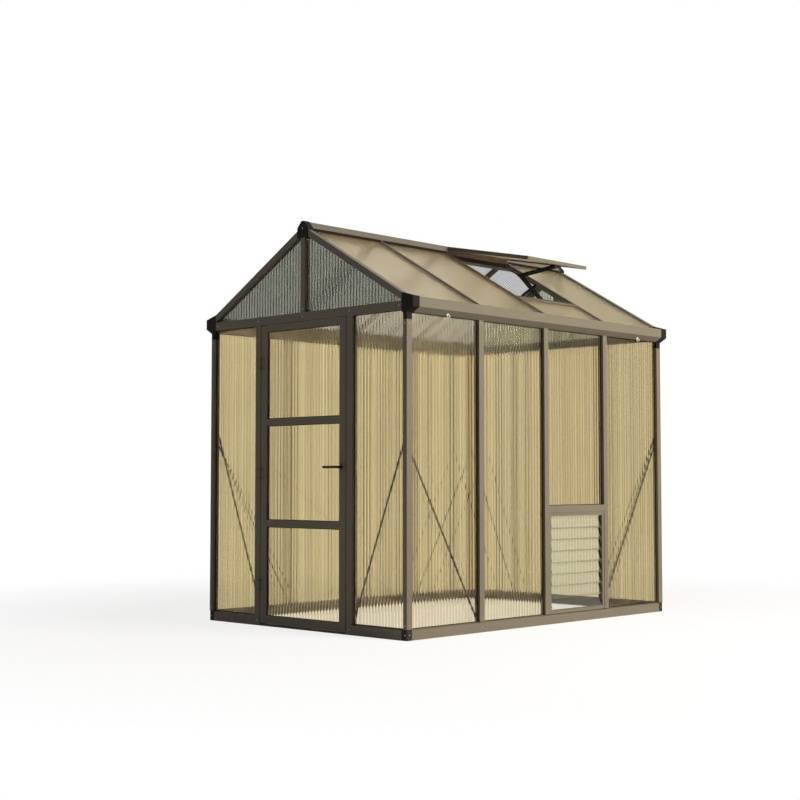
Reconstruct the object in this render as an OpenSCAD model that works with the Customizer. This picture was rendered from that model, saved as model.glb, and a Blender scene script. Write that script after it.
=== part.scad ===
// Walk-in greenhouse: a bar frame glazed with twin-wall sheet, under a gabled roof.
// Width runs along X, the door gable faces -Y, and Z is up from the ground.

/* [Building] */
// Outside width across the corner posts
wall_w = 1830; // [1700:10:2100]
// Spacing of the stud centres along a side wall
bay_w = 655; // [600:5:720]
// Number of bays along a side wall
side_bays = 4; // [4:1:6]
// Height of the gutters' underside above the ground
eave_h = 1937; // [1850:1:2100]
// Roof pitch in degrees
roof_pitch = 30; // [26:0.5:34]

/* [Wall bars] */
// Face width of a wall bar
post_w = 45; // [40:1:50]
// Depth of a wall bar, from its outer face to its inner face
bar_d = 40; // [38:1:48]
// How far the bars stand proud of the glazing
proud = 20; // [14:1:22]
// Depth of a glazing groove
groove_d = 12; // [8:0.5:14]
// Width of a corner post's face on the end walls
corner_face = 30; // [26:1:36]
// Thickness of the twin-wall sheet
panel_t = 6; // [4:0.5:8]
// Clearance round each sheet in its groove, and of each piece on its seat
fit = 0.3; // [0.2:0.05:0.5]

/* [Base] */
// Height of the base rails and corner blocks
base_h = 65; // [55:1:80]
// Fall of the base rail's weathered outer top edge
base_fall = 6; // [3:1:9]
// Plan size of a base corner block
block_w = 45; // [45:1:60]
// Chamfer on a block's outer upright edge
block_chamfer = 5; // [2:1:8]

/* [Gutter] */
// Reach of the gutter's outer face beyond the wall
gutter_out = 50; // [40:1:60]
// Height of the gutter's back wall, up to the roof sheets
gutter_back_h = 105; // [98:1:116]
// Thickness of the gutter's back wall
gutter_back_t = 10; // [8:1:12]
// Thickness of the gutter's lip and floor
gutter_t = 4; // [3:0.5:6]
// Height of the gutter's outer bottom edge above its underside
gutter_rise = 29; // [22:1:36]
// Height of the gutter's upright outer face
lip_h = 60; // [50:1:66]

/* [Gable] */
// Height of the tie beam
tie_h = 55; // [45:1:65]
// Gap between the tie beam and the lower ends of the rake bars
tie_gap = 3; // [2:1:8]
// Face width of the king post
king_w = 40; // [34:1:50]
// Depth of a rake bar, square to the roof
rake_h = 40; // [36:1:46]
// Rise of a rake bar above the underside of the roof sheets
rake_rise = 11; // [10:1:14]

/* [Roof] */
// Overhang of the roof sheets past the wall's outer face
sheet_over = 10; // [4:1:20]
// Width of a roof bar's cover strip
bar_cap_w = 22; // [18:1:28]
// Thickness of a roof bar's cover strip
bar_cap_t = 4; // [3:0.5:6]
// Width of a roof bar's web between two sheets
bar_web_w = 10; // [8:1:14]
// Width of a roof bar's lower flange
bar_foot_w = 30; // [24:1:36]
// Depth of a roof bar's lower flange
bar_foot_h = 24; // [18:1:30]
// Half width of the ridge beam's cover
ridge_wing = 46; // [44:1:56]
// Half width of the ridge beam under the sheets
ridge_foot = 40; // [34:1:43]
// Half width of the ridge beam's core between the sheets
ridge_core = 14; // [10:1:18]
// Height of the ridge beam below the sheets
ridge_drop = 46; // [38:1:60]
// Half width of the ridge cover's flat top
ridge_flat = 12; // [8:1:16]
// Height of the ridge cover's top above the sheets' meeting line
ridge_top_rise = 40; // [35:1:46]
// Height of the ridge cover's edge above the roof bars
wing_lift = 16; // [10:1:20]
// Thickness of the ridge cover at its edge
wing_t = 4; // [3:0.5:6]
// Overhang of the ridge cover past the ridge beam's sides
wing_lap = 6; // [4:1:10]

/* [Corner fittings] */
// Wall of a moulded corner fitting, also how far it stands proud of the gable
cap_t = 3; // [2:0.5:5]
// Length of an eave fitting's sleeve along the gutter
sleeve_l = 28; // [20:1:50]
// Height of an eave fitting's neck on the corner post
neck_h = 45; // [30:1:60]
// Half width of a ridge end fitting
ridge_cap_w = 50; // [48:1:60]

/* [Door] */
// Width of the door leaf
door_w = 794; // [700:2:840]
// Thickness of the door leaf
door_d = 30; // [26:1:34]
// Running gap between the leaf and each jamb
door_gap = 6; // [5.5:0.5:8]
// Gap above and below the leaf, and behind it
door_end_gap = 5.5; // [5:0.5:8]
// Face width of a door jamb
jamb_w = 50; // [45:1:60]
// Width of the stop that the leaf closes against
stop_w = 10; // [8:1:14]
// Height of the threshold
threshold_h = 12; // [8:1:20]
// Face width of a door stile
stile_w = 57; // [50:1:66]
// Height of the door's bottom rail
bottom_rail_h = 50; // [40:1:70]
// Height of the door's two middle rails
mid_rail_h = 45; // [36:1:56]
// Height of the door's top rail
top_rail_h = 42; // [36:1:56]
// Height of the lower middle rail's centre
lower_rail_z = 661; // [560:1:760]
// Height of the upper middle rail's centre
upper_rail_z = 1314; // [1200:1:1420]

/* [Door hardware] */
// Height of a hinge
hinge_h = 90; // [75:3:120]
// Distance of the end hinges from the ends of the leaf
hinge_inset = 200; // [150:5:260]
// Radius of a hinge knuckle
knuckle_r = 6.5; // [6:0.1:7.5]
// Radius of a hinge pin
pin_r = 3; // [2.5:0.1:3.5]
// Thickness of a hinge leaf
leaf_t = 2; // [1.5:0.1:2.5]
// Reach of a hinge leaf from the pin
leaf_w = 33; // [26:1:40]
// Radial clearance of a pin or spindle in its bore
run_fit = 0.05; // [0.03:0.01:0.08]
// Height of the lever handle
lever_z = 1020; // [900:5:1120]
// Length of the lever from its spindle
lever_l = 122; // [100:1:140]
// Radius of the lever's grip and spindle
lever_r = 8; // [7:0.5:9]
// Distance of the lever's grip from the face of the door
lever_proud = 45; // [38:1:56]
// Radius of a lever rose
rose_r = 24; // [20:1:27]
// Thickness of a lever rose
rose_t = 7; // [5:0.5:10]

/* [Wall louvre] */
// Bay of the right wall that holds the louvre, counted from the door
vent_bay = 3; // [2:1:3]
// Underside of the transom above the louvre
transom_z = 725; // [640:1:820]
// Height of the transom
transom_h = 48; // [40:1:60]
// Width of the louvre's side channels, head and foot
channel_w = 22; // [16:1:30]
// Depth of the louvre's channels
channel_d = 32; // [26:1:34]
// Greatest spacing of the blades
blade_pitch = 80; // [70:1:95]
// Thickness of a blade
blade_t = 5; // [4:0.5:6]
// Overlap of one blade on the next
blade_lap = 9; // [6:1:12]
// Lean of the blades from upright, in degrees
blade_lean = 20; // [15:1:35]

/* [Roof vent] */
// Distance of the vent's sill from the ridge, level
sill_x = 655; // [600:5:700]
// Level width of the sill bar
sill_w = 30; // [26:1:40]
// Length of the vent lid
lid_l = 735; // [660:5:780]
// Slope of the propped lid below level, in degrees
lid_slope = 11.3; // [6:0.1:18]
// Width of the lid's frame bars
lid_bar_w = 34; // [28:1:44]
// Thickness of the lid's frame bars
lid_bar_t = 24; // [20:1:28]
// Gap between the lid and the centre lines of the roof bars
lid_side_gap = 2; // [1:0.5:6]
// Length of the opener's lower arms
lower_arm = 298; // [280:1:320]
// Rise of the lower arms towards the ridge, in degrees
lower_rise = 46; // [40:0.5:50]
// Width of the opener's arms
arm_w = 18; // [14:1:22]
// Thickness of the opener's arms
arm_t = 4; // [3:0.5:5]
// Half gap between the opener's two lower arms
arm_gap = 14; // [13:0.5:18]
// Radius of the opener's pivot pins
pivot_r = 4; // [3:0.5:5]
// Radius of the opener's cylinder
ram_r = 11; // [9:0.5:12]
// Length of the opener's cylinder
ram_l = 150; // [130:1:180]
// Slope of the cylinder, in degrees
ram_slope = 27.7; // [20:0.1:34]

/* [Braces] */
// Width of a wall brace
brace_w = 12; // [10:1:16]
// Thickness of a wall brace
brace_t = 4; // [3:0.5:6]
// Height of the end wall braces' tops
end_brace_z = 1240; // [1220:5:1300]
// Height of the side wall braces' tops
side_brace_z = 1175; // [1000:5:1190]

/* [Hidden] */
$fn = 48;

bar_grey = [0.33, 0.31, 0.30];
cap_black = [0.10, 0.09, 0.09];
sheet_tan = [0.74, 0.67, 0.50, 0.6];
blade_clear = [0.80, 0.82, 0.78, 0.4];
steel_dark = [0.16, 0.15, 0.15];

// Overshoot of cutting solids
cut = 1;

// Glazing planes, measured inwards from a wall's outer face
groove_in = proud;
groove_out = proud + panel_t + 2 * fit;
sheet_in = proud + fit;
web_w = post_w - 2 * groove_d;

// Plan of the building, set so that its box is centred on the origin
wall_l = side_bays * bay_w + post_w;
lever_reach = lever_proud + lever_r;
y_shift = (lever_reach - cap_t) / 2;
front_y = y_shift - wall_l / 2;
back_y = y_shift + wall_l / 2;
side_x = wall_w / 2;
function stud_y(i) = front_y + post_w / 2 + i * bay_w;

// Roof plane: n is the distance square to the slope from the underside of the sheets
eave_x = side_x - bar_d;
roof_z0 = eave_h + gutter_back_h + eave_x * tan(roof_pitch);
function roof_z(x, n) = roof_z0 - x * tan(roof_pitch) + n / cos(roof_pitch);
sheet_top = panel_t + fit;
bar_top = sheet_top + bar_cap_t;
rake_drop = rake_h - rake_rise;
rake_d = bar_d;
ridge_top = roof_z(0, panel_t) + ridge_top_rise - panel_t;
ridge_edge_z = roof_z(ridge_wing, bar_top) + wing_lift;
ridge_side = ridge_wing - wing_lap;
ridge_cap_z = roof_z(ridge_cap_w, -rake_drop);
sheet_end_x = side_x + sheet_over;

// Eave heights
tie_top = roof_z(eave_x, -rake_drop) - tie_gap;
tie_z = tie_top - tie_h;
gutter_edge_z = eave_h + gutter_rise;
lip_z = gutter_edge_z + lip_h;
trough_z = eave_h + groove_d + gutter_t;
chamfer_k = gutter_rise / gutter_out;
function chamfer_z(x, d) =
  gutter_edge_z + (x - gutter_out) * chamfer_k - d * sqrt(1 + chamfer_k * chamfer_k);
end_plate = groove_out + fit;

// Doorway
jamb_x = door_w / 2 + door_gap;
jamb_out_x = jamb_x + jamb_w;
threshold_toe = threshold_h / 3;
door_z = threshold_h + door_end_gap;
door_top = tie_z - door_end_gap;
door_groove_d = 10;
pane_in = (door_d - panel_t) / 2;
hinge_x = -(door_w / 2 + door_gap / 2);
knuckle_gap = 0.5;
hinge_off = knuckle_r + knuckle_gap;
hinge_z = [door_z + hinge_inset, (door_z + door_top - hinge_h) / 2, door_top - hinge_inset - hinge_h];
knuckle_l = hinge_h / 3;
lever_x = door_w / 2 - stile_w / 2;
collar_t = 3;
collar_over = 3;
bore_gap = 2;
back_stud_x = (jamb_x + jamb_out_x) / 2;

// Wall louvre and roof vent, both between the same two studs
bay_y0 = stud_y(vent_bay - 1);
bay_y1 = stud_y(vent_bay);
bay_mid = (bay_y0 + bay_y1) / 2;
louvre_y0 = bay_y0 + post_w / 2;
louvre_y1 = bay_y1 - post_w / 2;
louvre_in = (bar_d - channel_d) / 2;
blade_z0 = base_h + channel_w + 2 * fit + blade_lap / 2;
blade_z1 = transom_z - channel_w - 2 * fit - blade_lap / 2;
blade_n = ceil((blade_z1 - blade_z0) / blade_pitch);
blade_step = (blade_z1 - blade_z0) / blade_n;
blade_h = (blade_step + blade_lap - blade_t * sin(blade_lean)) / cos(blade_lean);
lid_x = ridge_side;
lid_z = ridge_top - (lid_x - ridge_flat) * (ridge_top - ridge_edge_z) / (ridge_wing - ridge_flat) + fit;
lid_y0 = bay_y0 + lid_side_gap;
lid_y1 = bay_y1 - lid_side_gap;
lid_groove_d = 10;
lid_pane_z = (lid_bar_t - panel_t) / 2;
function lid_point(u, w) =
  [lid_x + u * cos(lid_slope) + w * sin(lid_slope), lid_z - u * sin(lid_slope) + w * cos(lid_slope)];

// Opener pivots: foot on the sill, elbow at the end of the lower arms, head under the lid
pivot_drop = 13;
arm_washer = 2;
eye_r = arm_w / 2 + arm_washer;
foot_out = 12;
foot_pt = [sill_x - foot_out, roof_z(sill_x, -bar_foot_h / 2)];
head_pt = lid_point(lid_l - lid_bar_w / 2, -pivot_drop);
elbow_pt = foot_pt + lower_arm * [-cos(lower_rise), sin(lower_rise)];
ram_grip = 0.53;
ram_pt = foot_pt + ram_grip * (elbow_pt - foot_pt);
ram_ahead = 0.35;
nut_step = 3;
nut_l = 14;

// Carries a profile drawn in X and Z along Y
module along_y(y0, y1) {
  translate([0, y1, 0])
    rotate([90, 0, 0])
      linear_extrude(y1 - y0)
        children();
}

// Carries a profile drawn in Y and Z along X
module along_x(x0, x1) {
  translate([x0, 0, 0])
    rotate([90, 0, 90])
      linear_extrude(x1 - x0)
        children();
}

// Draws an end wall twice over: depth runs inwards from its outer face
module at_front() {
  translate([0, front_y, 0])
    children();
}

module at_back() {
  translate([0, back_y, 0])
    mirror([0, 1, 0])
      children();
}

// Repeats a corner piece at the four corners: X and Y run inwards from the two wall faces
module at_corners() {
  for (left = [0, 1])
    mirror([left, 0, 0])
      translate([side_x, 0, 0])
        mirror([1, 0, 0]) {
          at_front() children();
          at_back() children();
        }
}

module both_sides() {
  children();
  mirror([1, 0, 0])
    children();
}

// Section of a glazing bar: width along the first axis, depth along the second
module bar_section(w, low = true, high = true) {
  difference() {
    square([w, bar_d]);
    if (low)
      translate([-cut, groove_in])
        square([groove_d + cut, groove_out - groove_in]);
    if (high)
      translate([w - groove_d, groove_in])
        square([groove_d + cut, groove_out - groove_in]);
  }
}

// Same section turned for a level bar: depth along the first axis, height along the second
module level_section(h, low = true, high = true) {
  mirror([1, -1, 0])
    bar_section(h, low, high);
}

module base_section() {
  difference() {
    polygon([
      [0, 0], [bar_d, 0], [bar_d, base_h], [proud, base_h], [0, base_h - base_fall]
    ]);
    translate([groove_in, base_h - groove_d])
      square([groove_out - groove_in, groove_d + cut]);
  }
}

module corner_section() {
  polygon([
    [0, 0], [corner_face, 0], [corner_face, groove_in], [corner_face - groove_d, groove_in],
    [corner_face - groove_d, groove_out], [bar_d, groove_out], [bar_d, bar_d], [groove_out, bar_d],
    [groove_out, post_w - groove_d], [groove_in, post_w - groove_d], [groove_in, post_w], [0, post_w]
  ]);
}

// Slab lying on the right roof slope, with upright ends
module slope_slab(x0, x1, n0, n1, y0, y1) {
  along_y(y0, y1)
    polygon([
      [x0, roof_z(x0, n0)], [x1, roof_z(x1, n0)], [x1, roof_z(x1, n1)], [x0, roof_z(x0, n1)]
    ]);
}

// Upright sheet in an end wall's glazing plane
module end_sheet(x0, x1, z0, z1) {
  translate([x0, sheet_in, z0])
    cube([x1 - x0, panel_t, z1 - z0]);
}

// Base

module base_corner_blocks() {
  color(cap_black)
    at_corners()
      difference() {
        linear_extrude(base_h)
          polygon([
            [block_chamfer, 0], [block_w, 0], [block_w, block_w], [0, block_w], [0, block_chamfer]
          ]);
        translate([corner_face - groove_d, groove_in, base_h - groove_d])
          cube([block_w, groove_out - groove_in, groove_d + cut]);
        translate([groove_in, post_w - groove_d, base_h - groove_d])
          cube([groove_out - groove_in, block_w, groove_d + cut]);
      }
}

module front_base_rails() {
  color(bar_grey)
    at_front()
      both_sides()
        along_x(jamb_out_x, side_x - block_w)
          base_section();
}

module back_base_rail() {
  color(bar_grey)
    at_back()
      along_x(-side_x + block_w, side_x - block_w)
        base_section();
}

module side_base() {
  along_y(front_y + block_w, back_y - block_w)
    translate([side_x, 0])
      mirror([1, 0, 0])
        base_section();
}

module right_base_rail() {
  color(bar_grey)
    side_base();
}

module left_base_rail() {
  color(bar_grey)
    mirror([1, 0, 0])
      side_base();
}

module door_threshold() {
  color(bar_grey)
    at_front()
      along_x(-jamb_x, jamb_x)
        polygon([
          [0, 0], [bar_d, 0], [bar_d, threshold_h], [threshold_h, threshold_h], [0, threshold_toe]
        ]);
}

// Uprights

module corner_posts() {
  color(bar_grey)
    at_corners()
      translate([0, 0, base_h])
        linear_extrude(eave_h - neck_h - base_h)
          corner_section();
}

module side_stud(i) {
  translate([side_x, stud_y(i) - post_w / 2, base_h])
    linear_extrude(eave_h - base_h)
      mirror([1, 0, 0])
        level_section(post_w);
}

module right_wall_studs() {
  color(bar_grey)
    for (i = [1 : side_bays - 1])
      side_stud(i);
}

module left_wall_studs() {
  color(bar_grey)
    mirror([1, 0, 0])
      for (i = [1 : side_bays - 1])
        side_stud(i);
}

module back_wall_studs() {
  color(bar_grey)
    at_back()
      both_sides()
        translate([back_stud_x - post_w / 2, 0, base_h])
          linear_extrude(tie_z - base_h)
            bar_section(post_w);
}

module jamb_section() {
  bar_section(jamb_w, low = false);
  translate([-stop_w, door_d + door_end_gap])
    square([stop_w + cut, bar_d - door_d - door_end_gap]);
}

module door_jambs() {
  color(bar_grey)
    at_front()
      both_sides()
        difference() {
          translate([jamb_x, 0, 0])
            linear_extrude(tie_z)
              jamb_section();
          translate([jamb_x - stop_w - cut, -cut, -cut])
            cube([stop_w + cut, bar_d + 2 * cut, threshold_h + fit + cut]);
        }
}

// Gables

module tie_beam() {
  along_x(-eave_x, eave_x)
    translate([0, tie_z])
      level_section(tie_h);
}

module front_tie_beam() {
  color(bar_grey)
    at_front()
      tie_beam();
}

module back_tie_beam() {
  color(bar_grey)
    at_back()
      tie_beam();
}

module king_post() {
  translate([-king_w / 2, 0, tie_top])
    linear_extrude(ridge_cap_z - tie_top)
      bar_section(king_w);
}

module gable_king_posts() {
  color(bar_grey) {
    at_front() king_post();
    at_back() king_post();
  }
}

module rake_bars() {
  both_sides()
    difference() {
      slope_slab(ridge_cap_w, eave_x, -rake_drop, rake_rise, 0, rake_d);
      slope_slab(ridge_cap_w - cut, eave_x + cut, -fit, sheet_top, rake_d - groove_d, rake_d + cut);
      slope_slab(ridge_cap_w - cut, eave_x + cut, -rake_drop - cut, groove_d - rake_drop, groove_in, groove_out);
    }
}

module front_rake_bars() {
  color(bar_grey)
    at_front()
      rake_bars();
}

module back_rake_bars() {
  color(bar_grey)
    at_back()
      rake_bars();
}

// Eaves and ridge

module gutter_section() {
  polygon([
    [-bar_d, eave_h], [-groove_out, eave_h], [-groove_out, eave_h + groove_d],
    [-groove_in, eave_h + groove_d], [-groove_in, eave_h], [0, eave_h],
    [gutter_out, gutter_edge_z], [gutter_out, lip_z], [gutter_out - gutter_t, lip_z],
    [gutter_out - gutter_t, gutter_edge_z + gutter_t], [gutter_t, trough_z],
    [gutter_back_t - bar_d, trough_z],
    [gutter_back_t - bar_d, roof_z(eave_x + gutter_back_t, -fit)],
    [-bar_d, roof_z(eave_x, -fit)]
  ]);
}

module side_gutter() {
  along_y(front_y + end_plate, back_y - end_plate)
    translate([side_x, 0])
      gutter_section();
}

module right_gutter() {
  color(bar_grey)
    side_gutter();
}

module left_gutter() {
  color(bar_grey)
    mirror([1, 0, 0])
      side_gutter();
}

// Moulded strip that follows the gutter's lip and sloping underside
module sleeve_section() {
  far = fit + cap_t;
  polygon([
    [gutter_out + fit, lip_z + cap_t], [gutter_out + far, lip_z + cap_t],
    [gutter_out + far, chamfer_z(gutter_out + far, far)], [0, chamfer_z(0, far)],
    [0, chamfer_z(0, fit)], [gutter_out + fit, chamfer_z(gutter_out + fit, fit)]
  ]);
}

// Plate that closes the gutter's end and meets the rake bar
module eave_plate_section() {
  far = fit + cap_t;
  polygon([
    [-bar_d, eave_h], [0, eave_h], [0, chamfer_z(0, far)],
    [gutter_out + far, chamfer_z(gutter_out + far, far)],
    [gutter_out + far, lip_z + cap_t], [-bar_d, roof_z(eave_x, rake_rise)]
  ]);
}

module eave_corner_caps() {
  color(cap_black)
    at_corners()
      union() {
        difference() {
          along_y(-cap_t, end_plate - fit)
            mirror([1, 0, 0])
              eave_plate_section();
          translate([corner_face - groove_d, groove_in, eave_h - cut])
            cube([bar_d, groove_out, tie_z + groove_d - eave_h + cut]);
        }
        along_y(0, end_plate + sleeve_l)
          mirror([1, 0, 0])
            sleeve_section();
        translate([0, 0, eave_h - neck_h])
          linear_extrude(neck_h)
            corner_section();
      }
}

// Ridge section: the right half's outline, then its mirror image back to the top
module ridge_section() {
  core_z = roof_z0 - ridge_drop - ridge_core;
  half = [
    [ridge_flat, ridge_top], [ridge_wing, ridge_edge_z], [ridge_wing, ridge_edge_z - wing_t],
    [ridge_side, ridge_edge_z - wing_t], [ridge_side, roof_z(ridge_side, sheet_top)],
    [ridge_core, roof_z(ridge_core, sheet_top)],
    [ridge_core, roof_z(ridge_core, -fit)], [ridge_foot, roof_z(ridge_foot, -fit)],
    [ridge_foot, roof_z(ridge_foot, -bar_foot_h)], [ridge_core, core_z]
  ];
  polygon(concat(half, [for (i = [len(half) - 1 : -1 : 0]) [-half[i][0], half[i][1]]]));
}

module ridge_beam() {
  color(bar_grey)
    along_y(front_y + rake_d + cap_t, back_y - rake_d - cap_t)
      ridge_section();
}

module ridge_end_caps() {
  color(cap_black)
    for (back = [0, 1])
      translate([0, back ? back_y : front_y, 0])
        mirror([0, back, 0])
          difference() {
            along_y(-cap_t, rake_d + cap_t)
              polygon([
                [0, ridge_top + cap_t], [ridge_flat, ridge_top + cap_t],
                [ridge_cap_w, ridge_edge_z], [ridge_cap_w, ridge_cap_z],
                [-ridge_cap_w, ridge_cap_z], [-ridge_cap_w, ridge_edge_z],
                [-ridge_flat, ridge_top + cap_t]
              ]);
            both_sides()
              slope_slab(ridge_core, ridge_cap_w + cut, -fit, sheet_top, rake_d - groove_d, rake_d + cap_t + cut);
          }
}

// Roof bars between the rakes: cover strip, web between the sheets, and lower flange
module roof_bar(i) {
  y = stud_y(i);
  slope_slab(ridge_side, sheet_end_x, sheet_top, bar_top, y - bar_cap_w / 2, y + bar_cap_w / 2);
  slope_slab(ridge_side, sheet_end_x, -fit, bar_top, y - bar_web_w / 2, y + bar_web_w / 2);
  slope_slab(ridge_side, eave_x, -bar_foot_h, bar_top, y - bar_web_w / 2, y + bar_web_w / 2);
  slope_slab(ridge_foot, eave_x, -bar_foot_h, -fit, y - bar_foot_w / 2, y + bar_foot_w / 2);
}

module right_roof_bars() {
  color(bar_grey)
    for (i = [1 : side_bays - 1])
      roof_bar(i);
}

module left_roof_bars() {
  color(bar_grey)
    mirror([1, 0, 0])
      for (i = [1 : side_bays - 1])
        roof_bar(i);
}

// Glazing

wall_sheet_z = base_h - groove_d + fit;
end_sheet_x0 = jamb_out_x - groove_d + fit;
end_sheet_x1 = side_x - corner_face + groove_d - fit;
end_sheet_top = tie_z + groove_d - fit;

module front_wall_panels() {
  color(sheet_tan)
    at_front()
      both_sides()
        end_sheet(end_sheet_x0, end_sheet_x1, wall_sheet_z, end_sheet_top);
}

module back_wall_panels() {
  edge = web_w / 2 + fit;
  color(sheet_tan)
    at_back() {
      end_sheet(-back_stud_x + edge, back_stud_x - edge, wall_sheet_z, end_sheet_top);
      both_sides()
        end_sheet(back_stud_x + edge, end_sheet_x1, wall_sheet_z, end_sheet_top);
    }
}

module side_sheet(i, z0) {
  edge = web_w / 2 + fit;
  translate([side_x - sheet_in - panel_t, stud_y(i) + edge, z0])
    cube([panel_t, bay_w - 2 * edge, eave_h + groove_d - fit - z0]);
}

module right_wall_panels() {
  color(sheet_tan)
    for (i = [0 : side_bays - 1])
      side_sheet(i, i == vent_bay - 1 ? transom_z + transom_h - groove_d + fit : wall_sheet_z);
}

module left_wall_panels() {
  color(sheet_tan)
    mirror([1, 0, 0])
      for (i = [0 : side_bays - 1])
        side_sheet(i, wall_sheet_z);
}

// Triangular sheet between the king post and a rake bar
module gable_sheet() {
  inner_x = king_w / 2 - groove_d + fit;
  outer_x = eave_x - fit;
  top_n = groove_d - rake_drop - fit;
  peak_z = ridge_cap_z - fit;
  peak_x = (roof_z(0, top_n) - peak_z) / tan(roof_pitch);
  foot_z = tie_top - groove_d + fit;
  along_y(sheet_in, sheet_in + panel_t)
    polygon([
      [inner_x, foot_z], [outer_x, foot_z], [outer_x, roof_z(outer_x, top_n)],
      [peak_x, peak_z], [inner_x, peak_z]
    ]);
}

module front_gable_panels() {
  color(sheet_tan)
    at_front()
      both_sides()
        gable_sheet();
}

module back_gable_panels() {
  color(sheet_tan)
    at_back()
      both_sides()
        gable_sheet();
}

module roof_sheet(i, x0) {
  edge = bar_web_w / 2 + fit;
  verge = rake_d - groove_d + fit;
  y0 = i == 0 ? front_y + verge : stud_y(i) + edge;
  y1 = i == side_bays - 1 ? back_y - verge : stud_y(i + 1) - edge;
  slope_slab(x0, sheet_end_x, 0, panel_t, y0, y1);
}

module right_roof_panels() {
  color(sheet_tan)
    for (i = [0 : side_bays - 1])
      roof_sheet(i, i == vent_bay - 1 ? sill_x + sill_w - groove_d + fit : ridge_core + fit);
}

module left_roof_panels() {
  color(sheet_tan)
    mirror([1, 0, 0])
      for (i = [0 : side_bays - 1])
        roof_sheet(i, ridge_core + fit);
}

// Braces lie flat on the inner faces of the bars

brace_end = groove_out + (bar_d - groove_out) / 2;

module brace(run, drop) {
  reach = norm([run, drop]);
  rotate([0, atan2(drop, run), 0])
    translate([0, 0, -brace_w / 2])
      cube([reach, brace_t, brace_w]);
}

module end_brace() {
  top_x = side_x - brace_end;
  translate([top_x, bar_d + fit, end_brace_z])
    mirror([1, 0, 0])
      brace(top_x - back_stud_x, end_brace_z - base_h);
}

module end_wall_braces() {
  color(steel_dark)
    both_sides() {
      at_front() end_brace();
      at_back() end_brace();
    }
}

module side_brace() {
  translate([side_x - bar_d - fit, brace_end, side_brace_z])
    rotate([0, 0, 90])
      brace(bay_w + post_w / 2 - brace_end, side_brace_z - base_h);
}

module side_wall_braces() {
  color(steel_dark)
    both_sides() {
      at_front() side_brace();
      at_back() side_brace();
    }
}

// Wall louvre

module louvre_transom() {
  color(bar_grey)
    along_y(louvre_y0, louvre_y1)
      translate([side_x, transom_z])
        mirror([1, 0, 0])
          level_section(transom_h, low = false);
}

module louvre_frame() {
  x = side_x - louvre_in - channel_d;
  color(bar_grey) {
    for (y = [louvre_y0 + fit, louvre_y1 - fit - channel_w])
      translate([x, y, base_h + fit])
        cube([channel_d, channel_w, transom_z - base_h - 2 * fit]);
    for (z = [base_h + fit, transom_z - fit - channel_w])
      translate([x, louvre_y0 + channel_w + 2 * fit, z])
        cube([channel_d, louvre_y1 - louvre_y0 - 2 * channel_w - 4 * fit, channel_w]);
  }
}

module louvre_blades() {
  edge = channel_w + 2 * fit;
  color(blade_clear)
    for (i = [0 : blade_n - 1])
      translate([side_x - bar_d / 2, (louvre_y0 + louvre_y1) / 2, blade_z0 + (i + 0.5) * blade_step])
        rotate([0, -blade_lean, 0])
          cube([blade_t, louvre_y1 - louvre_y0 - 2 * edge, blade_h], center = true);
}

// Roof vent

module vent_sill() {
  y0 = bay_y0 + bar_foot_w / 2;
  y1 = bay_y1 - bar_foot_w / 2;
  color(bar_grey)
    difference() {
      slope_slab(sill_x, sill_x + sill_w, -bar_foot_h, bar_top, y0, y1);
      slope_slab(sill_x + sill_w - groove_d, sill_x + sill_w + cut, -fit, sheet_top, y0 - cut, y1 + cut);
    }
}

// Places a piece drawn along the lid: X down its slope, Z square to it
module on_lid() {
  translate([lid_x, 0, lid_z])
    rotate([0, lid_slope, 0])
      children();
}

module vent_lid_frame() {
  inner_y0 = lid_y0 + lid_bar_w + fit;
  inner_y1 = lid_y1 - lid_bar_w - fit;
  slot_z = lid_pane_z - fit;
  slot_h = panel_t + 2 * fit;
  color(bar_grey)
    on_lid() {
      for (y = [lid_y0, lid_y1 - lid_bar_w])
        difference() {
          translate([0, y, 0])
            cube([lid_l, lid_bar_w, lid_bar_t]);
          translate([lid_bar_w - lid_groove_d, lid_y0 + lid_bar_w - lid_groove_d, slot_z])
            cube([
              lid_l - 2 * lid_bar_w + 2 * lid_groove_d,
              lid_y1 - lid_y0 - 2 * lid_bar_w + 2 * lid_groove_d, slot_h
            ]);
        }
      for (x = [0, lid_l - lid_bar_w])
        difference() {
          translate([x, inner_y0, 0])
            cube([lid_bar_w, inner_y1 - inner_y0, lid_bar_t]);
          translate([lid_bar_w - lid_groove_d, inner_y0 - cut, slot_z])
            cube([
              lid_l - 2 * lid_bar_w + 2 * lid_groove_d, inner_y1 - inner_y0 + 2 * cut, slot_h
            ]);
        }
    }
}

module vent_lid_pane() {
  edge = lid_bar_w - lid_groove_d + fit;
  color(sheet_tan)
    on_lid()
      translate([edge, lid_y0 + edge, lid_pane_z])
        cube([lid_l - 2 * edge, lid_y1 - lid_y0 - 2 * edge, panel_t]);
}

// Flat arm with an eye at each end, between two points in X and Z
module opener_arm(a, b, y) {
  run = b - a;
  translate([a[0], y, a[1]])
    rotate([0, -atan2(run[1], run[0]), 0]) {
      translate([0, 0, -arm_w / 2])
        cube([norm(run), arm_t, arm_w]);
      for (x = [0, norm(run)])
        translate([x, 0, 0])
          rotate([-90, 0, 0])
            cylinder(h = arm_t, r = eye_r);
    }
}

module opener_pin(p, half) {
  translate([p[0], -half, p[1]])
    rotate([-90, 0, 0])
      cylinder(h = 2 * half, r = pivot_r);
}

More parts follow.
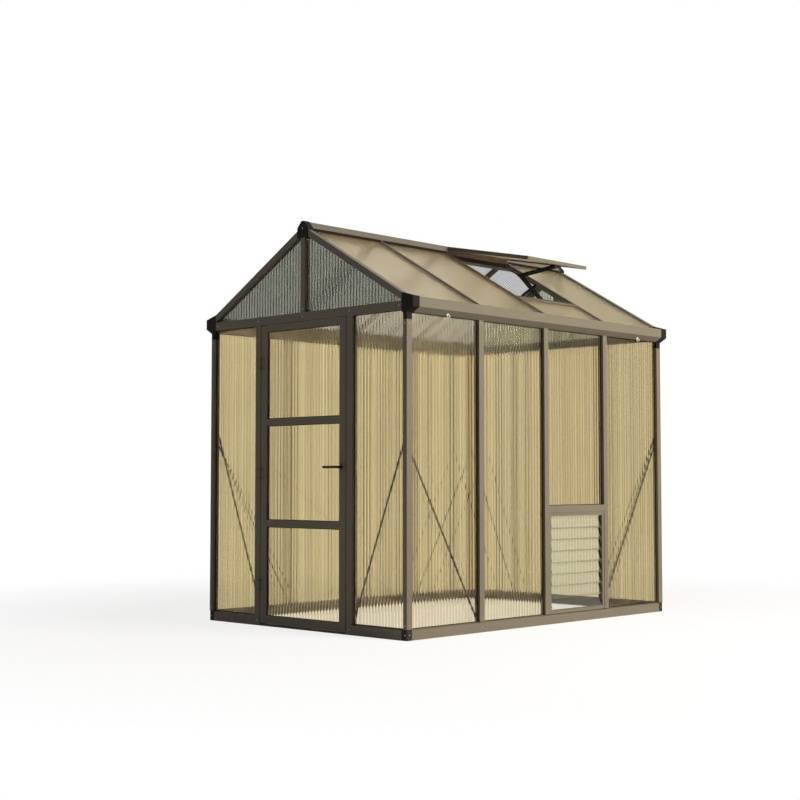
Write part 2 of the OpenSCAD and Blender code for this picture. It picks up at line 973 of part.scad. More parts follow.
// Lower arms on the sill's lug, upper arms outside them, and the lug under the lid
module vent_opener_arms() {
  outer = arm_gap + arm_t + arm_washer;
  lug = arm_gap - arm_washer;
  color(steel_dark)
    translate([0, bay_mid, 0]) {
      for (y = [arm_gap, -arm_gap - arm_t])
        opener_arm(foot_pt, elbow_pt, y);
      for (y = [outer, -outer - arm_t])
        opener_arm(elbow_pt, head_pt, y);
      opener_pin(foot_pt, outer + arm_washer);
      opener_pin(elbow_pt, outer + arm_t + arm_washer);
      opener_pin(head_pt, outer + arm_t + arm_washer);
      translate([foot_pt[0] - eye_r, -lug, foot_pt[1] - eye_r])
        cube([foot_out + eye_r - fit, 2 * lug, 2 * eye_r]);
      on_lid()
        translate([lid_l - lid_bar_w / 2 - eye_r, -lug, -pivot_drop - eye_r])
          cube([2 * eye_r, 2 * lug, pivot_drop + eye_r - fit]);
    }
}

module vent_opener_cylinder() {
  grip = ram_l * (1 - ram_ahead);
  collar = arm_gap - fit;
  nut_r = ram_r - nut_step;
  color(steel_dark)
    translate([ram_pt[0], bay_mid, ram_pt[1]])
      rotate([0, -ram_slope, 0]) {
        translate([-grip, 0, 0])
          rotate([0, 90, 0])
            cylinder(h = ram_l - nut_l, r = ram_r);
        translate([-grip, 0, 0])
          rotate([0, 90, 0])
            cylinder(h = ram_l, r = nut_r);
        translate([-arm_w / 2, -collar, -collar])
          cube([arm_w, 2 * collar, 2 * collar]);
      }
}

// Door

module at_hinges() {
  for (z = hinge_z)
    translate([hinge_x, front_y - hinge_off, z])
      children();
}

module hinge_leaf(side, first, last, gap) {
  plate_y = hinge_off - fit - leaf_t;
  clear = knuckle_r + 2 * knuckle_gap;
  mirror([side, 0, 0]) {
    translate([clear, plate_y, 0])
      cube([leaf_w - clear, leaf_t, hinge_h]);
    for (k = [first : 2 : last])
      translate([0, plate_y, k * knuckle_l + gap])
        cube([clear + cut, leaf_t, knuckle_l - 2 * gap]);
  }
}

module door_hinge_knuckles() {
  color(steel_dark)
    at_hinges()
      difference() {
        union() {
          hinge_leaf(1, 0, 2, 0);
          for (k = [0, 2])
            translate([0, 0, k * knuckle_l])
              cylinder(h = knuckle_l, r = knuckle_r);
          cylinder(h = hinge_h, r = pin_r);
        }
        translate([0, 0, knuckle_l])
          difference() {
            cylinder(h = knuckle_l, r = knuckle_r + knuckle_gap);
            translate([0, 0, -cut])
              cylinder(h = knuckle_l + 2 * cut, r = pin_r);
          }
      }
}

module door_hinge_leaves() {
  color(steel_dark)
    at_hinges()
      difference() {
        union() {
          hinge_leaf(0, 1, 1, knuckle_gap);
          translate([0, 0, knuckle_l + knuckle_gap])
            cylinder(h = knuckle_l - 2 * knuckle_gap, r = knuckle_r);
        }
        translate([0, 0, knuckle_l - cut])
          cylinder(h = knuckle_l + 2 * cut, r = pin_r + run_fit);
      }
}

// Cuts for the three panes, running into the stiles and rails
function rail_low(i) = [door_z, lower_rail_z - mid_rail_h / 2, upper_rail_z - mid_rail_h / 2, door_top - top_rail_h][i];
function rail_high(i) = [door_z + bottom_rail_h, lower_rail_z + mid_rail_h / 2, upper_rail_z + mid_rail_h / 2, door_top][i];

module pane_block(gap) {
  x = door_w / 2 - stile_w + door_groove_d - gap;
  for (i = [0 : 2])
    translate([-x, pane_in - fit + gap, rail_high(i) - door_groove_d + gap])
      cube([2 * x, panel_t + 2 * fit - 2 * gap, rail_low(i + 1) - rail_high(i) + 2 * door_groove_d - 2 * gap]);
}

module door_stiles() {
  color(bar_grey)
    at_front()
      difference() {
        both_sides()
          translate([door_w / 2 - stile_w, 0, door_z])
            cube([stile_w, door_d, door_top - door_z]);
        pane_block(0);
        translate([lever_x, -cut, lever_z])
          rotate([-90, 0, 0])
            cylinder(h = door_d + 2 * cut, r = lever_r + bore_gap);
      }
}

module door_rails() {
  x = door_w / 2 - stile_w;
  color(bar_grey)
    at_front()
      difference() {
        for (i = [0 : 3])
          translate([-x, 0, rail_low(i)])
            cube([2 * x, door_d, rail_high(i) - rail_low(i)]);
        pane_block(0);
      }
}

module door_panes() {
  color(sheet_tan)
    at_front()
      pane_block(fit);
}

module at_lever() {
  translate([lever_x, front_y, lever_z])
    children();
}

module rose() {
  rotate([90, 0, 0])
    difference() {
      cylinder(h = rose_t, r = rose_r);
      translate([0, 0, -cut])
        cylinder(h = rose_t + 2 * cut, r = lever_r + run_fit);
    }
}

module lever_roses() {
  color(steel_dark)
    at_lever() {
      rose();
      translate([0, door_d, 0])
        mirror([0, 1, 0])
          rose();
    }
}

module lever_grip() {
  translate([0, -lever_proud, 0]) {
    rotate([0, -90, 0])
      cylinder(h = lever_l, r = lever_r);
    sphere(r = lever_r);
    translate([-lever_l, 0, 0])
      sphere(r = lever_r);
  }
  translate([0, -rose_t - fit, 0])
    rotate([90, 0, 0])
      cylinder(h = collar_t, r = lever_r + collar_over);
}

module lever_handle() {
  color(steel_dark)
    at_lever() {
      translate([0, -lever_proud, 0])
        rotate([-90, 0, 0])
          cylinder(h = door_d + 2 * lever_proud, r = lever_r);
      lever_grip();
      translate([0, door_d, 0])
        mirror([0, 1, 0])
          lever_grip();
    }
}

base_corner_blocks();
front_base_rails();
back_base_rail();
left_base_rail();
right_base_rail();
door_threshold();
corner_posts();
left_wall_studs();
right_wall_studs();
back_wall_studs();
door_jambs();
front_tie_beam();
back_tie_beam();
gable_king_posts();
left_gutter();
right_gutter();
eave_corner_caps();
ridge_beam();
ridge_end_caps();
front_rake_bars();
back_rake_bars();
left_roof_bars();
right_roof_bars();
front_wall_panels();
back_wall_panels();
left_wall_panels();
right_wall_panels();
front_gable_panels();
back_gable_panels();
left_roof_panels();
right_roof_panels();
end_wall_braces();
side_wall_braces();
louvre_transom();
louvre_frame();
louvre_blades();
vent_sill();
vent_lid_frame();
vent_lid_pane();
vent_opener_arms();
vent_opener_cylinder();
door_hinge_knuckles();
door_stiles();
door_rails();
door_panes();
door_hinge_leaves();
lever_roses();
lever_handle();
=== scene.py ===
"""Looks for the walk-in greenhouse: twin-wall glazing, finishes, fixings, light and camera."""

import logging
import math
from abc import ABC, abstractmethod
from collections.abc import Callable
from dataclasses import dataclass
from enum import Enum
from typing import ClassVar

import bpy
import numpy as np
from bpy.types import Material, Node, NodeSocket, NodeTree, Object
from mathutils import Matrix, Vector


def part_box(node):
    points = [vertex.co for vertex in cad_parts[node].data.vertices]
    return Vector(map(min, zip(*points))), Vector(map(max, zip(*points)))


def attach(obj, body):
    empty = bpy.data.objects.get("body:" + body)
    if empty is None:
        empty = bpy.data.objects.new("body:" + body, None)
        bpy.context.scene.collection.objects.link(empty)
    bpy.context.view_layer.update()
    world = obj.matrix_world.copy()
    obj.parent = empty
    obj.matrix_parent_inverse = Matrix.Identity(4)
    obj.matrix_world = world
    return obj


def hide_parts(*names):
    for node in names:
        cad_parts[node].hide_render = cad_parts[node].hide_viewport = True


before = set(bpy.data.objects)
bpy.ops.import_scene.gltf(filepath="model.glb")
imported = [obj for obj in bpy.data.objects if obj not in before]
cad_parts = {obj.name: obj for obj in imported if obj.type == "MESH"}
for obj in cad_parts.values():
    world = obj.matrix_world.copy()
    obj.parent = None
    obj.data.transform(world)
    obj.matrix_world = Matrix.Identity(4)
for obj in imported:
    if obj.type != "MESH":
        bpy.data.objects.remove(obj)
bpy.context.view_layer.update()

LOG = logging.getLogger("greenhouse")
SMOOTH_ANGLE = math.radians(35.0)
Color = tuple[float, float, float]
Point = tuple[float, float, float]
Span = tuple[float, float]
Spans = tuple[Span, ...]
X_AXIS, Y_AXIS, Z_AXIS = (1.0, 0.0, 0.0), (0.0, 1.0, 0.0), (0.0, 0.0, 1.0)


class Body(Enum):
    """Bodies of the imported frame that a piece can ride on."""

    HOUSE = "house"
    DOOR = "door"


class Slot(Enum):
    """Names of material slots."""

    CAPS = "moulded_caps"
    SHEET = "twin_wall_sheet"
    HARDWARE = "dark_hardware"


# Mesh tools


@dataclass(frozen=True)
class Axes:
    """A place to draw in: an origin and the directions across, along and through a piece."""

    origin: Point
    across: Point
    along: Point
    through: Point

    def to_frame(self, local: np.ndarray) -> np.ndarray:
        """Carries local points into the frame: origin + a * across + b * along + c * through."""
        basis = np.array([self.across, self.along, self.through])
        return np.asarray(self.origin) + local @ basis

    def mirrored(self) -> bool:
        """Says whether the three directions are left-handed."""
        return float(np.linalg.det(np.array([self.across, self.along, self.through]))) < 0.0


def ring_faces(rows: int, steps: int) -> tuple[np.ndarray, np.ndarray]:
    """Faces of rings that follow each other.

    Args:
        rows: Number of rings.
        steps: Points of a ring.

    Returns:
        The quads between the rings, and the first and last ring as ends.
    """
    k, s = np.meshgrid(np.arange(rows - 1), np.arange(steps), indexing="ij")
    nxt = (s + 1) % steps
    quads = np.stack([k * steps + s, k * steps + nxt, (k + 1) * steps + nxt, (k + 1) * steps + s], -1)
    ends = np.stack([np.arange(steps)[::-1], (rows - 1) * steps + np.arange(steps)])
    return quads.reshape(-1, 4), ends


class Surface:
    """Vertices and faces of one piece, gathered from several closed shells."""

    def __init__(self) -> None:
        """Starts empty."""
        self.points: list[np.ndarray] = []
        self.faces: list[list[int]] = []
        self.count = 0

    def add(self, points: np.ndarray, *faces: np.ndarray) -> None:
        """Adds a shell.

        Args:
            points: Its vertices, with coordinates on the last axis.
            faces: Arrays of vertex numbers, one row a face.
        """
        flat = np.asarray(points, float).reshape(-1, 3)
        for rows in faces:
            self.faces += (np.asarray(rows).reshape(-1, rows.shape[-1]) + self.count).tolist()
        self.points.append(flat)
        self.count += len(flat)

    def prisms(self, axes: Axes, low: np.ndarray, high: np.ndarray) -> None:
        """Adds closed prisms drawn in local axes.

        Args:
            axes: Where they are drawn.
            low: Corners of the lower outlines, of shape (prisms, corners, 3).
            high: Corners of the upper outlines, likewise.
        """
        rows, n, _ = low.shape
        i = np.arange(n)
        j = (i + 1) % n
        sides = np.column_stack([i, j, j + n, i + n])
        ends = np.stack([i[::-1], i + n])
        if axes.mirrored():
            sides, ends = sides[:, ::-1], ends[:, ::-1]
        base = 2 * n * np.arange(rows)[:, None, None]
        self.add(axes.to_frame(np.stack([low, high], axis=1)), sides + base, ends + base)

    def boxes(self, axes: Axes, limits: np.ndarray) -> None:
        """Adds boxes a0..a1 by b0..b1 by c0..c1.

        Args:
            axes: Where they are drawn.
            limits: Rows of a0, a1, b0, b1, c0 and c1: the limits across, along and through.
        """
        a0, a1, b0, b1, c0, c1 = np.asarray(limits, float).reshape(-1, 6).T
        a = np.stack([a0, a1, a1, a0], axis=-1)
        b = np.stack([b0, b0, b1, b1], axis=-1)
        self.prisms(axes, *(np.stack([a, b, np.broadcast_to(c[:, None], a.shape)], -1) for c in (c0, c1)))

    def cavities(
        self, axes: Axes, across: np.ndarray, through: np.ndarray, low: float, high: np.ndarray
    ) -> None:
        """Adds closed air channels: a profile carried along, with faces that point inwards.

        Args:
            axes: Where the channels are drawn.
            across: Profile places across, one row a channel.
            through: Profile places through, in the same turning order, shared by all channels.
            low: Lower end along.
            high: Upper end along at each profile place.
        """
        depth = np.broadcast_to(through, across.shape)
        ends = [np.stack([across, np.broadcast_to(b, across.shape), depth], -1) for b in (low, high)]
        self.prisms(axes, *ends)

    def plate(self, axes: Axes, outline: np.ndarray, c0: float, c1: float) -> None:
        """Adds a flat plate: a counter-clockwise outline, drawn across and along, from c0 to c1 through."""
        ends = [np.column_stack([outline, np.full(len(outline), c)])[None] for c in (c0, c1)]
        self.prisms(axes, *ends)

    def turned(self, profile: np.ndarray, centres: np.ndarray, axis: Point, steps: int) -> None:
        """Adds turned heads: a profile of radius and height carried round an axis.

        Point (k, s) is centre + height_k * axis + radius_k * (cos(t_s) * u + sin(t_s) * v).

        Args:
            profile: Rows of radius and height, from the seat to the top.
            centres: Seats of the heads, one row each.
            axis: Direction of the axis, of length one.
            steps: Number of sides.
        """
        w = np.asarray(axis, float)
        spare = np.eye(3)[int(np.argmin(np.abs(w)))]
        u = np.cross(w, spare)
        u /= np.linalg.norm(u)
        v = np.cross(w, u)
        turn = np.arange(steps) * 2.0 * np.pi / steps
        ring = np.cos(turn)[:, None] * u + np.sin(turn)[:, None] * v
        local = profile[:, 0, None, None] * ring + profile[:, 1, None, None] * w
        points = np.asarray(centres, float).reshape(-1, 1, 1, 3) + local
        quads, ends = ring_faces(len(profile), steps)
        base = len(profile) * steps * np.arange(len(points))[:, None, None]
        self.add(points, quads + base, ends + base)

    def tube(self, path: np.ndarray, radius: float, side: Point, steps: int) -> None:
        """Adds a round tube along a flat path, closed at both ends.

        Ring i is path_i + radius * (cos(t) * n_i + sin(t) * side), with n_i square to the path.

        Args:
            path: Points of the path, all in one plane.
            radius: Radius of the tube.
            side: Direction square to that plane, of length one.
            steps: Number of sides.
        """
        b = np.asarray(side, float)
        tangent = np.gradient(path, axis=0)
        tangent /= np.linalg.norm(tangent, axis=1, keepdims=True)
        n = np.cross(b, tangent)
        turn = np.arange(steps) * 2.0 * np.pi / steps
        ring = np.cos(turn)[None, :, None] * n[:, None, :] + np.sin(turn)[None, :, None] * b
        points = path[:, None, :] + radius * ring
        quads, ends = ring_faces(len(path), steps)
        self.add(points, np.roll(quads[:, ::-1], 1, axis=1), ends[:, ::-1])

    def piece(
        self, name: str, material: Material, body: Body = Body.HOUSE,
        stands_for: tuple[str, ...] = (), smooth: bool = False,
    ) -> Object:
        """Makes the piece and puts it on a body.

        Args:
            name: Name of the piece.
            material: Its finish.
            body: The body that it rides on.
            stands_for: CAD nodes that it replaces.
            smooth: True where its round faces shade smoothly.

        Returns:
            The new object.
        """
        mesh = bpy.data.meshes.new(name)
        mesh.from_pydata(np.vstack(self.points).tolist(), [], self.faces)
        mesh.materials.append(material)
        if smooth:
            mesh.shade_smooth()
            mesh.set_sharp_from_angle(angle=SMOOTH_ANGLE)
        mesh.update()
        item = bpy.data.objects.new(name, mesh)
        bpy.context.scene.collection.objects.link(item)
        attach(item, body.value)
        if stands_for:
            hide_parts(*stands_for)
        LOG.info("%s: %d faces", name, len(mesh.polygons))
        return item


# Shader tools


VALUE = "NodeSocketFloat"
COLOR = "NodeSocketColor"
MIX_A, MIX_B, MIX_RESULT = 6, 7, 2
Term = NodeSocket | float
Rgba = tuple[float, float, float, float]


class Wiring:
    """A node tree while it is being wired."""

    def __init__(self, tree: NodeTree) -> None:
        """Takes over a tree and empties it."""
        self.tree = tree
        tree.nodes.clear()

    def node(self, kind: str, inputs: dict[str | int, object] | None = None, **values: object) -> Node:
        """Adds a node, sets its properties and feeds its inputs.

        Args:
            kind: Blender's name of the node.
            inputs: Sockets to link or constants to set, by the input's name or number.
            values: Properties to set.

        Returns:
            The node.
        """
        made = self.tree.nodes.new(kind)
        for key, value in values.items():
            setattr(made, key, value)
        for key, value in (inputs or {}).items():
            if isinstance(value, NodeSocket):
                self.tree.links.new(value, made.inputs[key])
            else:
                made.inputs[key].default_value = value
        return made

    def math(self, operation: str, *terms: Term, clamp: bool = False) -> NodeSocket:
        """Adds a Math node of some terms and gives its result's socket."""
        fed = dict(enumerate(terms))
        return self.node("ShaderNodeMath", fed, operation=operation, use_clamp=clamp).outputs[0]

    def place(self) -> NodeSocket:
        """Gives the socket of the Object coordinates."""
        return self.node("ShaderNodeTexCoord").outputs["Object"]

    def noise(self, scale: Term, detail: float) -> NodeSocket:
        """Adds noise on Object coordinates and gives its value's socket."""
        fed = {"Scale": scale, "Detail": detail, "Vector": self.place()}
        return self.node("ShaderNodeTexNoise", fed).outputs["Fac"]

    def mix(self, share: Term, first: Term | Rgba, second: Term | Rgba) -> NodeSocket:
        """Mixes two colours by a share of the second and gives the result's socket."""
        fed = {0: share, MIX_A: first, MIX_B: second}
        return self.node("ShaderNodeMix", fed, data_type="RGBA").outputs[MIX_RESULT]


def new_group(name: str, inputs: dict[str, str], outputs: dict[str, str]) -> tuple[NodeTree, Wiring]:
    """Starts a shader node group with named sockets.

    Args:
        name: Name of the group.
        inputs: Socket names and types that go in.
        outputs: Socket names and types that come out.

    Returns:
        The group and its wiring.
    """
    group = bpy.data.node_groups.new(name, "ShaderNodeTree")
    for direction, sockets in (("INPUT", inputs), ("OUTPUT", outputs)):
        for label, kind in sockets.items():
            group.interface.new_socket(name=label, in_out=direction, socket_type=kind)
    return group, Wiring(group)


class SharedEffects:
    """Node groups that several finishes use: mottled coat with grain, and dust near the ground."""

    PATCH_DETAIL = 5.0
    GRAIN_DETAIL = 2.0
    SPECK_SCALE = 38.0
    SPECK_DETAIL = 6.0
    DUST_ROUGHNESS = 0.35

    def __init__(self) -> None:
        """Builds the groups once."""
        self.coat = self.build_coat()
        self.dust = self.build_dust()

    def build_coat(self) -> NodeTree:
        """Colour times 1 + spread * (noise - 0.5), roughness moved likewise, and a fine grain height."""
        group, wire = new_group(
            "mottled_coat",
            {"Color": COLOR, "Roughness": VALUE, "Spread": VALUE, "Patch Scale": VALUE, "Grain Scale": VALUE},
            {"Color": COLOR, "Roughness": VALUE, "Height": VALUE},
        )
        given = wire.node("NodeGroupInput").outputs
        patch = wire.math("SUBTRACT", wire.noise(given["Patch Scale"], self.PATCH_DETAIL), 0.5)
        factor = wire.math("MULTIPLY_ADD", patch, given["Spread"], 1.0)
        tint = wire.node("ShaderNodeVectorMath", {0: given["Color"], "Scale": factor}, operation="SCALE")
        half = wire.math("MULTIPLY", given["Spread"], 0.5)
        wire.node("NodeGroupOutput", {
            "Color": tint.outputs[0],
            "Roughness": wire.math("MULTIPLY_ADD", patch, half, given["Roughness"], clamp=True),
            "Height": wire.noise(given["Grain Scale"], self.GRAIN_DETAIL),
        })
        return group

    def build_dust(self) -> NodeTree:
        """Mixes in a dust colour by amount * noise * (1 - height / reach), held within 0 and 1."""
        group, wire = new_group(
            "ground_dust",
            {"Color": COLOR, "Roughness": VALUE, "Dust": COLOR, "Amount": VALUE, "Reach": VALUE},
            {"Color": COLOR, "Roughness": VALUE},
        )
        given = wire.node("NodeGroupInput").outputs
        place = wire.node("ShaderNodeSeparateXYZ", {0: wire.place()})
        share = wire.math("DIVIDE", place.outputs["Z"], given["Reach"])
        low = wire.math("SUBTRACT", 1.0, share, clamp=True)
        noise = wire.noise(self.SPECK_SCALE, self.SPECK_DETAIL)
        speck = wire.math("MULTIPLY", noise, given["Amount"])
        mask = wire.math("MULTIPLY", low, speck, clamp=True)
        wire.node("NodeGroupOutput", {
            "Color": wire.mix(mask, given["Color"], given["Dust"]),
            "Roughness": wire.math(
                "MULTIPLY_ADD", mask, self.DUST_ROUGHNESS, given["Roughness"], clamp=True
            ),
        })
        return group


class CoatedFinish(ABC):
    """What all finishes share: a colour and a roughness that come from the mottled coat."""

    name: str
    color: Color
    roughness: float
    spread: float
    patch: float
    grain: float

    @abstractmethod
    def shade(self, wire: Wiring, coat: Node, effects: SharedEffects) -> Node:
        """Adds the finish's own shader after its coat."""

    def make(self, effects: SharedEffects) -> Material:
        """Builds the material.

        Args:
            effects: The shared node groups.

        Returns:
            The material.
        """
        material = bpy.data.materials.new(self.name)
        material.use_nodes = True
        wire = Wiring(material.node_tree)
        coat = wire.node("ShaderNodeGroup", {
            "Color": (*self.color, 1.0), "Roughness": self.roughness, "Spread": self.spread,
            "Patch Scale": self.patch, "Grain Scale": self.grain,
        }, node_tree=effects.coat)
        shader = self.shade(wire, coat, effects)
        wire.node("ShaderNodeOutputMaterial", {"Surface": shader.outputs[0]})
        return material


@dataclass(frozen=True)
class SolidFinish(CoatedFinish):
    """An opaque finish: mottled colour, fine grain and some dust near the ground."""

    DUST_COLOR: ClassVar[Color] = (0.30, 0.25, 0.19)
    DUST_REACH: ClassVar[float] = 0.28
    BUMP_DEPTH: ClassVar[float] = 0.001

    name: str
    color: Color
    roughness: float = 0.45
    specular: float = 0.25
    metallic: float = 0.0
    spread: float = 0.18
    patch: float = 7.0
    grain: float = 900.0
    bump: float = 0.06
    dust: float = 0.15

    def shade(self, wire: Wiring, coat: Node, effects: SharedEffects) -> Node:
        """Adds the dust, the grain's bump and the shader.

        Args:
            wire: The material's wiring.
            coat: The coat's node.
            effects: The shared node groups.

        Returns:
            The shader.
        """
        dust = wire.node("ShaderNodeGroup", {
            "Color": coat.outputs["Color"], "Roughness": coat.outputs["Roughness"],
            "Dust": (*self.DUST_COLOR, 1.0), "Amount": self.dust, "Reach": self.DUST_REACH,
        }, node_tree=effects.dust)
        bump = wire.node("ShaderNodeBump", {
            "Strength": self.bump, "Distance": self.BUMP_DEPTH, "Height": coat.outputs["Height"],
        })
        return wire.node("ShaderNodeBsdfPrincipled", {
            "Metallic": self.metallic, "Specular IOR Level": self.specular,
            "Base Color": dust.outputs["Color"], "Roughness": dust.outputs["Roughness"],
            "Normal": bump.outputs["Normal"],
        })


@dataclass(frozen=True)
class SheetFinish(CoatedFinish):
    """A finish that light passes through, with a faint haze that varies over the sheet."""

    name: str
    color: Color
    transmission: float
    roughness: float
    ior: float
    spread: float = 0.05
    patch: float = 2.6
    grain: float = 300.0

    def shade(self, wire: Wiring, coat: Node, effects: SharedEffects) -> Node:
        """Adds the shader, which needs no dust."""
        return wire.node("ShaderNodeBsdfPrincipled", {
            "Transmission Weight": self.transmission, "IOR": self.ior,
            "Base Color": coat.outputs["Color"], "Roughness": coat.outputs["Roughness"],
        })


class Finish(Enum):
    """The finishes of the greenhouse."""

    BAR = SolidFinish("bar_coat", (0.118, 0.107, 0.084), 0.45, 0.10)
    CAP = SolidFinish("cap_plastic", (0.010, 0.0085, 0.007), 0.55, 0.05, spread=0.3, patch=22.0, grain=500.0)
    STEEL = SolidFinish("dark_steel", (0.012, 0.011, 0.010), 0.40, 0.12, spread=0.3, patch=30.0)
    # Black rubber of the gaskets and the sill seal, also used for the black strips that paint shade under the
    # ridge cover and on the ridge beam's side in the vent bay.
    RUBBER_AND_SHADE = SolidFinish("rubber_and_painted_shade", (0.010, 0.009, 0.008), 0.7, 0.05, spread=0.2, patch=40.0)
    SCREW = SolidFinish("screw_zinc", (0.30, 0.29, 0.28), 0.34, 0.5, metallic=1.0, patch=60.0, dust=0.2)
    HOOK = SolidFinish("hook_plastic", (0.70, 0.69, 0.64), 0.4, 0.3, spread=0.06, patch=30.0, dust=0.0)
    # The sheet tints are lit and shaded copies of one twin-wall sheet. The warm tan of the walls, the door,
    # the right slope and the vent lid is the sheet's own tint with its sunlit glow painted in. The greys of
    # the gables and of the left slope are painted shade.
    WALL_SHEET = SheetFinish("wall_sheet", (0.84, 0.79, 0.648), 0.995, 0.025, 1.15)
    ROOF_SHEET = SheetFinish("roof_sheet", (0.93, 0.87, 0.725), 0.982, 0.32, 1.03)
    PAINTED_SHADE_SHEET = SheetFinish("painted_shade_sheet", (0.63, 0.64, 0.575), 0.99, 0.03, 1.15)
    SHADED_HAZE_SHEET = SheetFinish("painted_shade_haze_sheet", (0.74, 0.74, 0.755), 0.99, 0.18, 1.14)
    # Dark strips inside the gable sheets, which paint shade lines along the ribs.
    RIB_SHADE = SolidFinish("painted_rib_shade", (0.085, 0.095, 0.088), 0.5, 0.1, spread=0.1, patch=12.0, dust=0.0)
    BLADE = SheetFinish("clear_blade", (0.74, 0.74, 0.64), 0.985, 0.03, 1.25)


class Finishes:
    """All materials, made once."""

    def __init__(self) -> None:
        """Makes a material for every finish."""
        effects = SharedEffects()
        self.made = {kind: kind.value.make(effects) for kind in Finish}

    def __getitem__(self, kind: Finish) -> Material:
        """Gives the material of a finish."""
        return self.made[kind]


# The building


@dataclass(frozen=True)
class House:
    """Sizes of the frame that the dressing follows, in metres."""

    side_x: float = 0.915
    front_y: float = -1.3075
    back_y: float = 1.3575
    bay: float = 0.655
    bays: int = 4
    eave_h: float = 1.937
    eave_x: float = 0.875
    roof_lift: float = 0.105
    pitch: float = math.radians(30.0)
    post_w: float = 0.045
    bar_d: float = 0.040
    proud: float = 0.020
    groove: float = 0.012
    fit: float = 0.0003
    panel: float = 0.006
    base_h: float = 0.065
    tie_h: float = 0.055
    tie_gap: float = 0.003
    rake_drop: float = 0.029
    jamb_out_x: float = 0.453
    back_stud_x: float = 0.428
    corner_face: float = 0.030
    king_w: float = 0.040
    ridge_core: float = 0.014
    ridge_side: float = 0.040
    ridge_cap_w: float = 0.050
    sheet_end_x: float = 0.925
    bar_web: float = 0.010
    bar_top: float = 0.0103
    vent_bay: int = 2
    transom_z: float = 0.725
    transom_h: float = 0.048
    sill_x: float = 0.655
    sill_w: float = 0.030

    def stud_y(self, i: int) -> float:
        """Place of a stud's centre along a side wall."""
        return self.front_y + self.post_w / 2.0 + i * self.bay

    def bay_span(self, i: int, edge: float) -> Span:
        """Limits of a bay along the wall, an edge away from the centres of its studs."""
        return self.stud_y(i) + edge, self.stud_y(i + 1) - edge

    def roof_span(self, i: int, edge: float, verge: float) -> Span:
        """Limits of a roof bay between its bars.

        Args:
            i: Number of the bay, from the front.
            edge: Distance from the bars' centres.
            verge: Distance from the ends of the house.

        Returns:
            The lower and upper limit.
        """
        y0, y1 = self.bay_span(i, edge)
        last = self.bays - 1
        return (self.front_y + verge if i == 0 else y0), (self.back_y - verge if i == last else y1)

    def vented(self, side: float, i: int) -> bool:
        """Says whether a bay holds the louvre and the vent: the third one on the right."""
        return side > 0 and i == self.vent_bay

    def wall_foot(self, side: float, i: int) -> float:
        """Lower edge of a side wall's opening, which starts above the louvre in its bay."""
        return self.transom_z + self.transom_h if self.vented(side, i) else self.base_h

    def end_openings(self, side: float) -> Spans:
        """Openings of an end wall between its uprights, from left to right.

        Args:
            side: -1 for the front, 1 for the back.

        Returns:
            The left and right edge of each opening.
        """
        outer = self.side_x - self.corner_face
        if side < 0:
            return (-outer, -self.jamb_out_x), (self.jamb_out_x, outer)
        near, far = self.back_stud_x - self.post_w / 2.0, self.back_stud_x + self.post_w / 2.0
        return (-outer, -far), (-near, near), (far, outer)

    @property
    def roof_z0(self) -> float:
        """Height where the undersides of the roof sheets meet."""
        return self.eave_h + self.roof_lift + self.eave_x * math.tan(self.pitch)

    @property
    def reach(self) -> float:
        """Length of a sheet's edge inside its groove."""
        return self.groove - self.fit

    def roof_z(self, x: float, n: float) -> float:
        """Height of the roof plane at a distance from the ridge, n square to the slope."""
        return self.roof_z0 - abs(x) * math.tan(self.pitch) + n / math.cos(self.pitch)

    @property
    def tie_top(self) -> float:
        """Top of the tie beams."""
        return self.roof_z(self.eave_x, -self.rake_drop) - self.tie_gap

    @property
    def tie_z(self) -> float:
        """Underside of the tie beams."""
        return self.tie_top - self.tie_h

    @property
    def sheet_in(self) -> float:
        """Depth of a wall sheet's outer face behind the wall's outer face."""
        return self.proud + self.fit

    def wall_axes(self, side: float) -> Axes:
        """Axes of a side wall's glazing: along is up, through runs outwards from the sheet's inner face."""
        x = side * (self.side_x - self.sheet_in - self.panel)
        return Axes((x, 0.0, 0.0), Y_AXIS, Z_AXIS, (side, 0.0, 0.0))

    def end_axes(self, side: float) -> Axes:
        """Axes of an end wall's glazing, likewise. The side is -1 for the front and 1 for the back."""
        y = (self.front_y if side < 0 else self.back_y) - side * (self.sheet_in + self.panel)
        return Axes((0.0, y, 0.0), X_AXIS, Z_AXIS, (0.0, side, 0.0))

    def roof_axes(self, side: float) -> Axes:
        """Axes of a slope: along runs down it from the ridge, through is square to its sheets."""
        c, s = math.cos(self.pitch), math.sin(self.pitch)
        return Axes((0.0, 0.0, self.roof_z0), Y_AXIS, (side * c, 0.0, -s), (side * s, 0.0, c))


@dataclass(frozen=True)
class SheetArea:
    """Where a sheet lies: its axes, limits across the flutes, foot, and top at places across."""

    axes: Axes
    across: Span
    foot: float
    top: Callable[[np.ndarray], np.ndarray]


